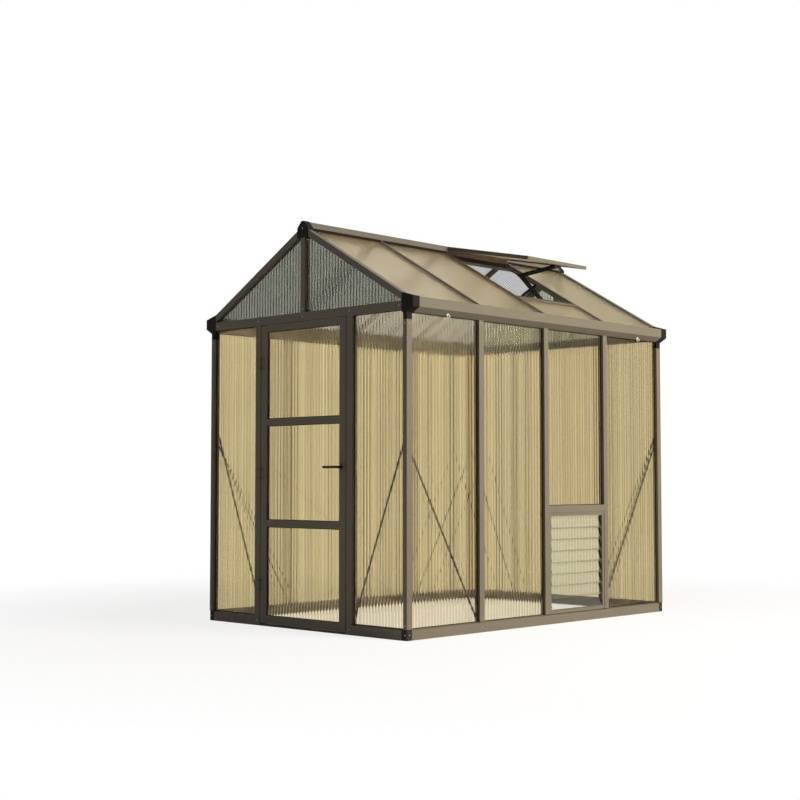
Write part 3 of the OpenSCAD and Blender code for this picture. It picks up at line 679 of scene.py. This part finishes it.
@dataclass(frozen=True)
class Flutes:
    """Section of the twin-wall sheet, whose channels are shallow towards the ribs."""

    thick: float = House.panel
    pitch: float = 0.0275
    rib: float = 0.0070
    skin: float = 0.0008
    slope_w: float = 0.0060
    slope_h: float = 0.0011
    # Width and inset of the dark strips inside the ribs, which paint shade lines.
    rib_shade_w: float = 0.0030
    rib_shade_gap: float = 0.0016
    end: float = 0.002
    shortest: float = 0.008

    def sheet(self, surface: Surface, axes: Axes, across: Span, along: Span) -> None:
        """Adds a square sheet: a closed plate with one closed air channel for every flute.

        Args:
            surface: Where it goes.
            axes: Where it is drawn, with through running from face to face.
            across: Limits across the flutes.
            along: Limits along the flutes.
        """
        (a0, a1), (b0, b1) = across, along
        surface.plate(axes, np.array([[a0, b0], [a1, b0], [a1, b1], [a0, b1]]), 0.0, self.thick)
        self.channels(surface, SheetArea(axes, across, b0, lambda a: np.full_like(a, b1)))

    def edges(self, area: SheetArea) -> np.ndarray:
        """Places of the ribs across a sheet, its two edges included."""
        count = max(1, int(round((area.across[1] - area.across[0]) / self.pitch)))
        return np.linspace(*area.across, count + 1)

    def channels(self, surface: Surface, area: SheetArea) -> None:
        """Adds the air channels between the ribs, each shut at both ends.

        Args:
            surface: Where they go.
            area: Where the sheet lies.
        """
        edge = self.edges(area)
        left = edge[:-1] + self.rib / 2.0
        right = edge[1:] - self.rib / 2.0
        keep = np.minimum(area.top(left), area.top(right)) > area.foot + self.shortest
        left, right = left[keep, None], right[keep, None]
        near, far = left + self.slope_w, right - self.slope_w
        across = np.hstack([left, near, far, right, right, far, near, left])
        low, high = self.skin, self.thick - self.skin
        rise = self.slope_h
        through = np.array([low + rise, low, low, low + rise, high - rise, high, high, high - rise])
        surface.cavities(area.axes, across, through, area.foot + self.end, area.top(across) - self.end)

    def rib_shades(self, surface: Surface, area: SheetArea) -> None:
        """Adds dark strips of painted shade in the middle of each rib, shut inside the sheet.

        Args:
            surface: Where they go.
            area: Where the sheet lies.
        """
        middle = self.edges(area)[1:-1]
        half = self.rib_shade_w / 2.0
        high = np.minimum(area.top(middle - half), area.top(middle + half)) - self.end
        keep = high > area.foot + self.shortest
        middle, high = middle[keep], high[keep]
        one = np.ones_like(middle)
        surface.boxes(area.axes, np.column_stack([
            middle - half, middle + half, (area.foot + self.end) * one, high,
            self.rib_shade_gap * one, (self.thick - self.rib_shade_gap) * one,
        ]))


@dataclass
class Glazing:
    """Twin-wall sheets of the house and the door."""

    house: House
    finishes: Finishes
    flutes: Flutes = Flutes()
    door_half: float = 0.3497
    door_y: float = 0.012
    door_rails: Spans = ((0.0175, 0.0675), (0.6385, 0.6835), (1.2915, 1.3365))
    door_groove: float = 0.010
    top_rail: float = 0.042
    top_gap: float = 0.0055

    def put(self, surface: Surface, node: str, kind: Finish, body: Body = Body.HOUSE) -> None:
        """Makes the piece that stands for a node of sheets."""
        surface.piece(node + "_fluted", self.finishes[kind], body, (node,))

    def side_walls(self) -> None:
        """Builds the four sheets of each side wall, the louvre's bay cut short on the right."""
        h = self.house
        for side, node in ((1.0, "right_wall_panels"), (-1.0, "left_wall_panels")):
            surface = Surface()
            for i in range(h.bays):
                across = h.bay_span(i, h.post_w / 2.0 - h.reach)
                along = (h.wall_foot(side, i) - h.reach, h.eave_h + h.reach)
                self.flutes.sheet(surface, h.wall_axes(side), across, along)
            self.put(surface, node, Finish.WALL_SHEET)

    def end_walls(self) -> None:
        """Builds the sheets beside the door and the three sheets of the back wall."""
        h = self.house
        along = (h.base_h - h.reach, h.tie_z + h.reach)
        for side, node in ((-1.0, "front_wall_panels"), (1.0, "back_wall_panels")):
            surface = Surface()
            for a0, a1 in h.end_openings(side):
                self.flutes.sheet(surface, h.end_axes(side), (a0 - h.reach, a1 + h.reach), along)
            self.put(surface, node, Finish.WALL_SHEET)

    def gables(self) -> None:
        """Builds the gable sheets: the top edge is the lower of a level line and the rake's slope."""
        h = self.house
        inner = h.king_w / 2.0 - h.reach
        outer = h.eave_x - h.fit
        top_n = h.reach - h.rake_drop
        peak = h.roof_z(h.ridge_cap_w, -h.rake_drop) - h.fit
        foot = h.tie_top - h.reach
        slope = math.tan(h.pitch)
        shoulder = (h.roof_z(0.0, top_n) - peak) / slope
        outline = np.array([
            [inner, foot], [outer, foot], [outer, h.roof_z(outer, top_n)], [shoulder, peak], [inner, peak]
        ])

        def top(a: np.ndarray) -> np.ndarray:
            """Height of the sheet's top edge at places across."""
            return np.minimum(peak, h.roof_z(0.0, top_n) - a * slope)

        # Dark strips of painted shade along the gables' ribs.
        ribs = Surface()
        for end, node in ((-1.0, "front_gable_panels"), (1.0, "back_gable_panels")):
            surface = Surface()
            for side in (1.0, -1.0):
                base = h.end_axes(end)
                axes = Axes(base.origin, (side, 0.0, 0.0), base.along, base.through)
                surface.plate(axes, outline, 0.0, h.panel)
                area = SheetArea(axes, (inner, outer), foot, top)
                self.flutes.channels(surface, area)
                self.flutes.rib_shades(ribs, area)
            # The gables take the grey of painted shade.
            self.put(surface, node, Finish.PAINTED_SHADE_SHEET)
        ribs.piece("gable_painted_rib_shades", self.finishes[Finish.RIB_SHADE])

    def roofs(self) -> None:
        """Builds the roof sheets, whose flutes run down the slope, the vent's bay cut short."""
        h = self.house
        run = 1.0 / math.cos(h.pitch)
        for side, node in ((1.0, "right_roof_panels"), (-1.0, "left_roof_panels")):
            surface = Surface()
            for i in range(h.bays):
                across = h.roof_span(i, h.bar_web / 2.0 + h.fit, h.bar_d - h.reach)
                x0 = h.sill_x + h.sill_w - h.reach if h.vented(side, i) else h.ridge_core + h.fit
                self.flutes.sheet(surface, h.roof_axes(side), across, (x0 * run, h.sheet_end_x * run))
            # The right slope takes the tan with painted sunlit glow, the left slope the grey of painted
            # shade.
            self.put(surface, node, Finish.ROOF_SHEET if side > 0 else Finish.SHADED_HAZE_SHEET)

    def rails(self) -> Spans:
        """Gives the lower and upper edge of each door rail."""
        top = self.house.tie_z - self.top_gap
        return (*self.door_rails, (top - self.top_rail, top))

    def door_axes(self) -> Axes:
        """Axes of the door's glazing: across is +X, along is up, through runs outwards."""
        y = self.house.front_y + self.door_y + self.house.panel
        return Axes((0.0, y, 0.0), X_AXIS, Z_AXIS, (0.0, -1.0, 0.0))

    def door(self) -> None:
        """Builds the three sheets of the door."""
        surface = Surface()
        reach = self.door_groove - self.house.fit
        rails = self.rails()
        for below, above in zip(rails[:-1], rails[1:]):
            along = (below[1] - reach, above[0] + reach)
            self.flutes.sheet(surface, self.door_axes(), (-self.door_half, self.door_half), along)
        self.put(surface, "door_panes", Finish.WALL_SHEET, Body.DOOR)

    def build(self) -> None:
        """Builds every sheet but the vent lid's."""
        self.side_walls()
        self.end_walls()
        self.gables()
        self.roofs()
        self.door()


@dataclass
class RoofVent:
    """The propped lid's sheet, the sill seal that it closes on, and a black strip of painted shade on the
    ridge beam's side.
    """

    house: House
    finishes: Finishes
    flutes: Flutes = Flutes()
    slope: float = math.radians(11.3)
    length: float = 0.735
    bar_w: float = 0.034
    bar_t: float = 0.024
    groove: float = 0.010
    side_gap: float = 0.002
    seal_t: float = 0.002
    # Limits of the painted shade strip on the ridge beam's side, square to the slope.
    shade_strip_n: Span = (-0.024, -0.0003)
    bead_in: float = 0.006
    bead_w: float = 0.006

    def axes(self) -> Axes:
        """Axes of the lid's sheet: along runs down the lid, through is square to it.

        Returns:
            The axes, with their origin on the sheet's underside at the hinge.
        """
        c, s = math.cos(self.slope), math.sin(self.slope)
        _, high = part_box("vent_lid_frame")
        lift = (self.bar_t - self.house.panel) / 2.0
        origin = (self.house.ridge_side + lift * s, 0.0, high.z - self.bar_t * c + lift * c)
        return Axes(origin, Y_AXIS, (c, 0.0, -s), (s, 0.0, c))

    def build(self) -> None:
        """Builds the lid's sheet, with flutes running down the lid, its sill seal and its strip of painted
        shade.
        """
        h = self.house
        edge = self.bar_w - self.groove + h.fit
        across = h.bay_span(h.vent_bay, self.side_gap + edge)
        surface = Surface()
        self.flutes.sheet(surface, self.axes(), across, (edge, self.length - edge))
        finish = self.finishes[Finish.ROOF_SHEET]
        surface.piece("vent_lid_pane_fluted", finish, Body.HOUSE, ("vent_lid_pane",))
        self.seals()

    def seals(self) -> None:
        """Lays the lid's black strips: one on the ridge beam's side, which paints the shade there, and a seal
        on the sill's upper face.
        """
        h = self.house
        near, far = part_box("vent_sill")
        y0, y1 = near.y, far.y
        # A black strip on the ridge beam's side: painted shade where the beam's inner face lies in shade.
        upright = Axes((h.ridge_side, 0.0, 0.0), Y_AXIS, Z_AXIS, X_AXIS)
        low, high = (h.roof_z(h.ridge_side, n) for n in self.shade_strip_n)
        surface = Surface()
        surface.boxes(upright, np.array([y0, y1, low, high, 0.0, self.seal_t]))
        run = 1.0 / math.cos(h.pitch)
        bead = (h.sill_x + self.bead_in) * run
        limits = np.array([y0, y1, bead, bead + self.bead_w, h.bar_top, h.bar_top + self.seal_t])
        surface.boxes(h.roof_axes(1.0), limits)
        surface.piece("vent_seal_and_shade_strip", self.finishes[Finish.RUBBER_AND_SHADE])


@dataclass
class Gaskets:
    """Rubber beads that hold the sheets in their openings, on the sheets' outer faces, and black strips of
    painted shade under the ridge cover.
    """

    house: House
    finishes: Finishes
    width: float = 0.004
    height: float = 0.003
    door_x: float = 0.340
    ridge_t: float = 0.0045
    cover_z: float = 2.5440
    bar_half: float = 0.0112

    def ring(self, a0: float, a1: float, b0: float, b1: float) -> np.ndarray:
        """Limits of the four beads round one opening: two full-height, two between them.

        Args:
            a0: Left edge of the opening.
            a1: Right edge.
            b0: Lower edge.
            b1: Upper edge.

        Returns:
            Four rows of box limits.
        """
        w = self.width
        c0, c1 = self.house.panel, self.house.panel + self.height
        return np.array([
            [a0, a0 + w, b0, b1, c0, c1], [a1 - w, a1, b0, b1, c0, c1],
            [a0 + w, a1 - w, b0, b0 + w, c0, c1], [a0 + w, a1 - w, b1 - w, b1, c0, c1],
        ])

    def walls(self) -> None:
        """Lays the beads round every wall opening."""
        h = self.house
        surface = Surface()
        for side in (1.0, -1.0):
            for i in range(h.bays):
                y0, y1 = h.bay_span(i, h.post_w / 2.0)
                surface.boxes(h.wall_axes(side), self.ring(y0, y1, h.wall_foot(side, i), h.eave_h))
        for end in (-1.0, 1.0):
            for a0, a1 in h.end_openings(end):
                surface.boxes(h.end_axes(end), self.ring(a0, a1, h.base_h, h.tie_z))
        surface.piece("wall_gaskets", self.finishes[Finish.RUBBER_AND_SHADE])

    def ridge(self) -> None:
        """Lays black strips in the slot between the ridge cover's overhang and the roof sheets, which paint
        the shade under the overhang.
        """
        h = self.house
        surface = Surface()
        inner, outer = h.ridge_side, h.ridge_side + self.ridge_t
        outline = np.array([
            [inner, h.roof_z(inner, h.panel + h.fit)], [outer, h.roof_z(outer, h.panel + h.fit)],
            [outer, self.cover_z], [inner, self.cover_z],
        ])
        for side in (1.0, -1.0):
            axes = Axes((0.0, 0.0, 0.0), (side, 0.0, 0.0), Z_AXIS, Y_AXIS)
            for i in range(h.bays):
                if not h.vented(side, i):
                    surface.plate(axes, outline, *h.roof_span(i, self.bar_half, h.bar_d))
        surface.piece("ridge_shade_strips", self.finishes[Finish.RUBBER_AND_SHADE])

    def door(self, glazing: Glazing) -> None:
        """Lays the beads round the door's three openings.

        Args:
            glazing: Gives the door's axes and rails.
        """
        surface = Surface()
        rails = glazing.rails()
        for below, above in zip(rails[:-1], rails[1:]):
            surface.boxes(glazing.door_axes(), self.ring(-self.door_x, self.door_x, below[1], above[0]))
        surface.piece("door_gaskets", self.finishes[Finish.RUBBER_AND_SHADE], Body.DOOR)


def pan_head(radius: float, height: float) -> np.ndarray:
    """Radius and height along a pan-head screw, from the seat over the rim into its drive recess."""
    shape = np.array([[1.0, 0.0], [1.0, 0.45], [0.82, 0.85], [0.45, 1.0], [0.36, 0.45], [0.05, 0.40]])
    return shape * np.array([radius, height])


@dataclass
class Fixings:
    """Screws in the frame, the hinges and the lever's rose."""

    house: House
    finishes: Finishes
    radius: float = 0.0042
    height: float = 0.0026
    sides: int = 12
    hinge_z: tuple[float, ...] = (0.2175, 0.9362, 1.6550)
    hinge_holes: tuple[float, ...] = (0.018, 0.072)
    hinge_face: float = 0.0023
    leaf_x: float = 0.400
    hole_x: float = 0.020
    rose: Span = (0.3685, 1.020)
    rose_face: float = 0.0070
    rose_hole: float = 0.0175
    rose_head: Span = (0.0030, 0.0016)
    cap_face: float = 0.0030
    cap_z: float = 2.545
    foot_rise: float = 0.024
    top_drop: float = 0.022
    post_top: float = 1.868
    jamb_in: float = 0.025
    tie_end: float = 0.85
    king_rise: float = 0.022

    def heads(self, surface: Surface, places: list[Point], axis: Point) -> None:
        """Adds screw heads at places on a face."""
        surface.turned(pan_head(self.radius, self.height), np.array(places), axis, self.sides)

    def frame_screws(self) -> None:
        """Puts screws where the posts, studs, rails, beams and end fittings join."""
        h = self.house
        surface = Surface()
        rail, foot, top = h.base_h / 2.0, h.base_h + self.foot_rise, h.eave_h - self.top_drop
        tie = (h.tie_z + h.tie_top) / 2.0
        for side in (1.0, -1.0):
            x = side * h.side_x
            studs = [(x, h.stud_y(i), z) for i in range(1, h.bays) for z in (rail, foot, top)]
            posts = [(x, h.stud_y(i), z) for i in (0, h.bays) for z in (rail, foot, self.post_top)]
            self.heads(surface, studs + posts, (side, 0.0, 0.0))
        for end, y in ((-1.0, h.front_y), (1.0, h.back_y)):
            corner = h.side_x - h.corner_face / 2.0
            upright = h.jamb_out_x - self.jamb_in if end < 0 else h.back_stud_x
            flat = [(s * corner, y, z) for s in (1.0, -1.0) for z in (rail, foot, self.post_top)]
            flat += [(s * upright, y, z) for s in (1.0, -1.0) for z in (rail, tie)]
            flat += [(s * self.tie_end, y, tie) for s in (1.0, -1.0)]
            flat += [(0.0, y, tie), (0.0, y, h.tie_top + self.king_rise)]
            self.heads(surface, flat, (0.0, end, 0.0))
            self.heads(surface, [(0.0, y + end * self.cap_face, self.cap_z)], (0.0, end, 0.0))
        surface.piece("frame_screws", self.finishes[Finish.SCREW], smooth=True)

    def hinge_screws(self) -> None:
        """Puts two screws in each hinge plate, on the jamb and on the door."""
        h = self.house
        y = h.front_y - self.hinge_face
        for name, body, shift in (
            ("hinge_screws_jamb", Body.HOUSE, -self.hole_x), ("hinge_screws_door", Body.DOOR, self.hole_x)
        ):
            surface = Surface()
            places = [(-self.leaf_x + shift, y, z + hole) for z in self.hinge_z for hole in self.hinge_holes]
            self.heads(surface, places, (0.0, -1.0, 0.0))
            surface.piece(name, self.finishes[Finish.STEEL], body, smooth=True)

    def rose_screws(self) -> None:
        """Puts two small screws in the outer rose."""
        x, z = self.rose
        y = self.house.front_y - self.rose_face
        surface = Surface()
        places = np.array([(x, y, z + self.rose_hole), (x, y, z - self.rose_hole)])
        surface.turned(pan_head(*self.rose_head), places, (0.0, -1.0, 0.0), self.sides)
        surface.piece("rose_screws", self.finishes[Finish.STEEL], Body.DOOR, smooth=True)

    def build(self) -> None:
        """Puts in every screw."""
        self.frame_screws()
        self.hinge_screws()
        self.rose_screws()


@dataclass
class LouvreClips:
    """Clips that hold the louvre's blades at both ends."""

    house: House
    finishes: Finishes
    blades: int = 8
    first_z: float = 0.0921
    last_z: float = 0.6979
    lean: float = math.radians(20.0)
    blade_t: float = 0.005
    grip: float = 0.009
    reach: float = 0.030
    wall: float = 0.0022
    ends: Span = (0.0703, 0.6347)

    def build(self) -> None:
        """Builds two cheeks at each end of each blade."""
        c, s = math.cos(self.lean), math.sin(self.lean)
        step = (self.last_z - self.first_z) / self.blades
        surface = Surface()
        inner = self.blade_t / 2.0
        outer = inner + self.wall
        low, high = self.ends
        limits = np.array([
            [a0, a1, -self.reach, self.reach, c0, c1]
            for a0, a1 in ((low, low + self.grip), (high - self.grip, high))
            for c0, c1 in ((inner, outer), (-outer, -inner))
        ])
        for i in range(self.blades):
            centre = (self.house.side_x - self.house.bar_d / 2.0, 0.0, self.first_z + (i + 0.5) * step)
            surface.boxes(Axes(centre, Y_AXIS, (-s, 0.0, c), (c, 0.0, s)), limits)
        surface.piece("louvre_clips", self.finishes[Finish.CAP])


@dataclass
class OpenerBolts:
    """Bolt heads on the roof vent opener's pins."""

    finishes: Finishes
    pins: Spans = ((0.4360, 2.3696), (0.7416, 2.4024))
    radius: float = 0.0072
    height: float = 0.0040
    sides: int = 6

    def build(self) -> None:
        """Builds a six-sided head on both ends of each pin."""
        low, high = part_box("vent_opener_arms")
        shape = np.array([[0.9, 0.0], [1.0, 0.12], [1.0, 0.85], [0.85, 1.0], [0.05, 1.0]])
        profile = shape * np.array([self.radius, self.height])
        surface = Surface()
        for y, end in ((low.y, -1.0), (high.y, 1.0)):
            places = np.array([(x, y, z) for x, z in self.pins])
            surface.turned(profile, places, (0.0, end, 0.0), self.sides)
        surface.piece("opener_bolts", self.finishes[Finish.STEEL])


@dataclass
class GutterHooks:
    """White hooks under the right gutter."""

    finishes: Finishes
    places: tuple[float, ...] = (-0.965, 1.045)
    x: float = 0.930
    under_z: float = 1.9457
    drop: float = 0.014
    bend: float = 0.009
    rise: float = 0.006
    radius: float = 0.0032
    sides: int = 10
    seat: float = 0.0095
    seat_sides: int = 20
    straight_steps: int = 3
    bend_points: int = 13

    def path(self, y: float) -> np.ndarray:
        """Path of a hook: straight down by drop, then a half turn of radius bend, then a short rise.

        Args:
            y: Place along the gutter.

        Returns:
            Points of the path.
        """
        down = np.linspace(0.0, self.drop, self.straight_steps + 1)[:-1]
        turn = np.linspace(0.0, math.pi, self.bend_points)
        out = self.bend * (1.0 - np.cos(turn))
        side = np.concatenate([np.zeros(self.straight_steps), out, [2.0 * self.bend]])
        fall = np.concatenate([down, self.drop + self.bend * np.sin(turn), [self.drop - self.rise]])
        return np.column_stack([self.x + side, np.full(len(side), y), self.under_z - fall])

    def build(self) -> None:
        """Builds each hook with its round seat."""
        surface = Surface()
        seat = np.array([[1.0, -0.2], [1.0, 0.3], [0.85, 0.45], [0.05, 0.45]]) * self.seat
        for y in self.places:
            surface.tube(self.path(y), self.radius, Y_AXIS, self.sides)
            centre = np.array([(self.x, y, self.under_z)])
            surface.turned(seat, centre, (0.0, 0.0, -1.0), self.seat_sides)
        surface.piece("gutter_hooks", self.finishes[Finish.HOOK], smooth=True)


class Dressing:
    """Finishes of the CAD nodes that stay as they are."""

    NODES = {
        Finish.BAR: (
            "front_base_rails", "back_base_rail", "left_base_rail", "right_base_rail", "door_threshold",
            "corner_posts", "left_wall_studs", "right_wall_studs", "back_wall_studs", "door_jambs",
            "front_tie_beam", "back_tie_beam", "gable_king_posts", "left_gutter", "right_gutter",
            "ridge_beam", "front_rake_bars", "back_rake_bars", "left_roof_bars", "right_roof_bars",
            "louvre_transom", "louvre_frame", "vent_sill", "vent_lid_frame", "door_stiles", "door_rails",
            "door_hinge_knuckles", "door_hinge_leaves", "lever_roses",
        ),
        Finish.CAP: ("base_corner_blocks", "eave_corner_caps", "ridge_end_caps"),
        Finish.STEEL: (
            "end_wall_braces", "side_wall_braces", "vent_opener_arms", "vent_opener_cylinder",
            "lever_handle",
        ),
        Finish.BLADE: ("louvre_blades",),
    }

    def build(self, finishes: Finishes) -> None:
        """Dresses the nodes.

        Args:
            finishes: All materials.
        """
        for kind, names in self.NODES.items():
            for name in names:
                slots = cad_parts[name].data.materials
                slots.clear()
                slots.append(finishes[kind])


# Studio


@dataclass(frozen=True)
class Lamp:
    """A soft rectangular lamp that faces the middle of the house."""

    name: str
    place: Point
    size: Span
    power: float
    color: Color
    aim: Point = (0.0, 0.0, 1.2)

    def build(self) -> None:
        """Adds the lamp to the scene."""
        data = bpy.data.lights.new(self.name, "AREA")
        data.shape = "RECTANGLE"
        data.size, data.size_y = self.size
        data.energy = self.power
        data.color = self.color
        item = bpy.data.objects.new(self.name, data)
        item.location = self.place
        x, y, z = np.array(self.aim) - np.array(self.place)
        item.rotation_euler = (math.atan2(math.hypot(x, y), -z), 0.0, math.atan2(y, x) - math.pi / 2.0)
        bpy.context.scene.collection.objects.link(item)


@dataclass(frozen=True)
class Studio:
    """Camera, lights, pale floor and white surroundings."""

    eye: Point = (6.6932, -7.3800, 0.9372)
    tilt: float = 93.233
    turn: float = 43.85
    lens: float = 64.12
    sensor: float = 36.0
    floor_half: float = 40.0
    floor_color: Color = (0.86, 0.86, 0.86)
    floor_glow: float = 0.82
    shadow_reach: float = 2.2
    shadow_fade: float = 2.6
    ambient: Color = (0.150, 0.146, 0.146)
    bounces: int = 24
    lamps: tuple[Lamp, ...] = (
        Lamp("key", (8.0, 1.2, 4.3), (4.0, 4.0), 1270.0, (1.0, 0.91, 0.76)),
        Lamp("fill", (-3.0, -7.0, 4.0), (5.0, 4.0), 30.0, (0.94, 0.95, 1.0)),
    )

    def camera(self) -> None:
        """Places the camera at the photograph's viewing angle."""
        data = bpy.data.cameras.new("camera")
        data.lens = self.lens
        data.sensor_width = self.sensor
        item = bpy.data.objects.new("camera", data)
        item.location = self.eye
        item.rotation_euler = (math.radians(self.tilt), 0.0, math.radians(self.turn))
        bpy.context.scene.collection.objects.link(item)
        bpy.context.scene.camera = item

    def seen(self, wire: Wiring) -> NodeSocket:
        """Gives 1 where a camera, glossy or transmission ray looks, and 0 elsewhere."""
        path = wire.node("ShaderNodeLightPath")
        seen = wire.math("MAXIMUM", path.outputs["Is Camera Ray"], path.outputs["Is Glossy Ray"])
        return wire.math("MAXIMUM", seen, path.outputs["Is Transmission Ray"])

    def world(self) -> None:
        """Makes the surroundings: white where they are looked at, a soft ambient light elsewhere."""
        world = bpy.data.worlds.new("surroundings")
        bpy.context.scene.world = world
        world.use_nodes = True
        wire = Wiring(world.node_tree)
        glow = wire.mix(self.seen(wire), (*self.ambient, 1.0), (1.0, 1.0, 1.0, 1.0))
        back = wire.node("ShaderNodeBackground", {"Color": glow})
        wire.node("ShaderNodeOutputWorld", {"Surface": back.outputs[0]})

    def floor(self) -> None:
        """Lays the pale floor, which glows white where it is looked at and keeps a faint shadow."""
        half = self.floor_half
        corners = [(-half, -half, 0.0), (half, -half, 0.0), (half, half, 0.0), (-half, half, 0.0)]
        mesh = bpy.data.meshes.new("floor")
        mesh.from_pydata(corners, [], [(0, 1, 2, 3)])
        material = bpy.data.materials.new("pale_floor")
        material.use_nodes = True
        wire = Wiring(material.node_tree)
        matt = wire.node("ShaderNodeBsdfDiffuse", {"Color": (*self.floor_color, 1.0)})
        glow = wire.node("ShaderNodeEmission")
        reach = wire.node("ShaderNodeVectorMath", {0: wire.place()}, operation="LENGTH")
        far = wire.math("SUBTRACT", reach.outputs["Value"], self.shadow_reach)
        far = wire.math("DIVIDE", far, self.shadow_fade, clamp=True)
        share = wire.math("MULTIPLY_ADD", far, 1.0 - self.floor_glow, self.floor_glow)
        white = wire.math("MULTIPLY", self.seen(wire), share)
        mix = wire.node("ShaderNodeMixShader", {0: white, 1: matt.outputs[0], 2: glow.outputs[0]})
        wire.node("ShaderNodeOutputMaterial", {"Surface": mix.outputs[0]})
        mesh.materials.append(material)
        item = bpy.data.objects.new("floor", mesh)
        bpy.context.scene.collection.objects.link(item)

    def build(self) -> None:
        """Sets up the whole studio."""
        scene = bpy.context.scene
        scene.view_settings.view_transform = "Standard"
        scene.cycles.max_bounces = self.bounces
        scene.cycles.transmission_bounces = self.bounces
        self.camera()
        self.world()
        self.floor()
        for lamp in self.lamps:
            lamp.build()


def main() -> None:
    """Builds and dresses the greenhouse and sets up the studio."""
    logging.basicConfig(level=logging.INFO, format="%(name)s %(message)s")
    house = House()
    finishes = Finishes()
    Studio().build()
    Dressing().build(finishes)
    glazing = Glazing(house, finishes)
    glazing.build()
    RoofVent(house, finishes).build()
    gaskets = Gaskets(house, finishes)
    gaskets.walls()
    gaskets.ridge()
    gaskets.door(glazing)
    Fixings(house, finishes).build()
    LouvreClips(house, finishes).build()
    OpenerBolts(finishes).build()
    GutterHooks(finishes).build()


if __name__ == "__main__":
    main()
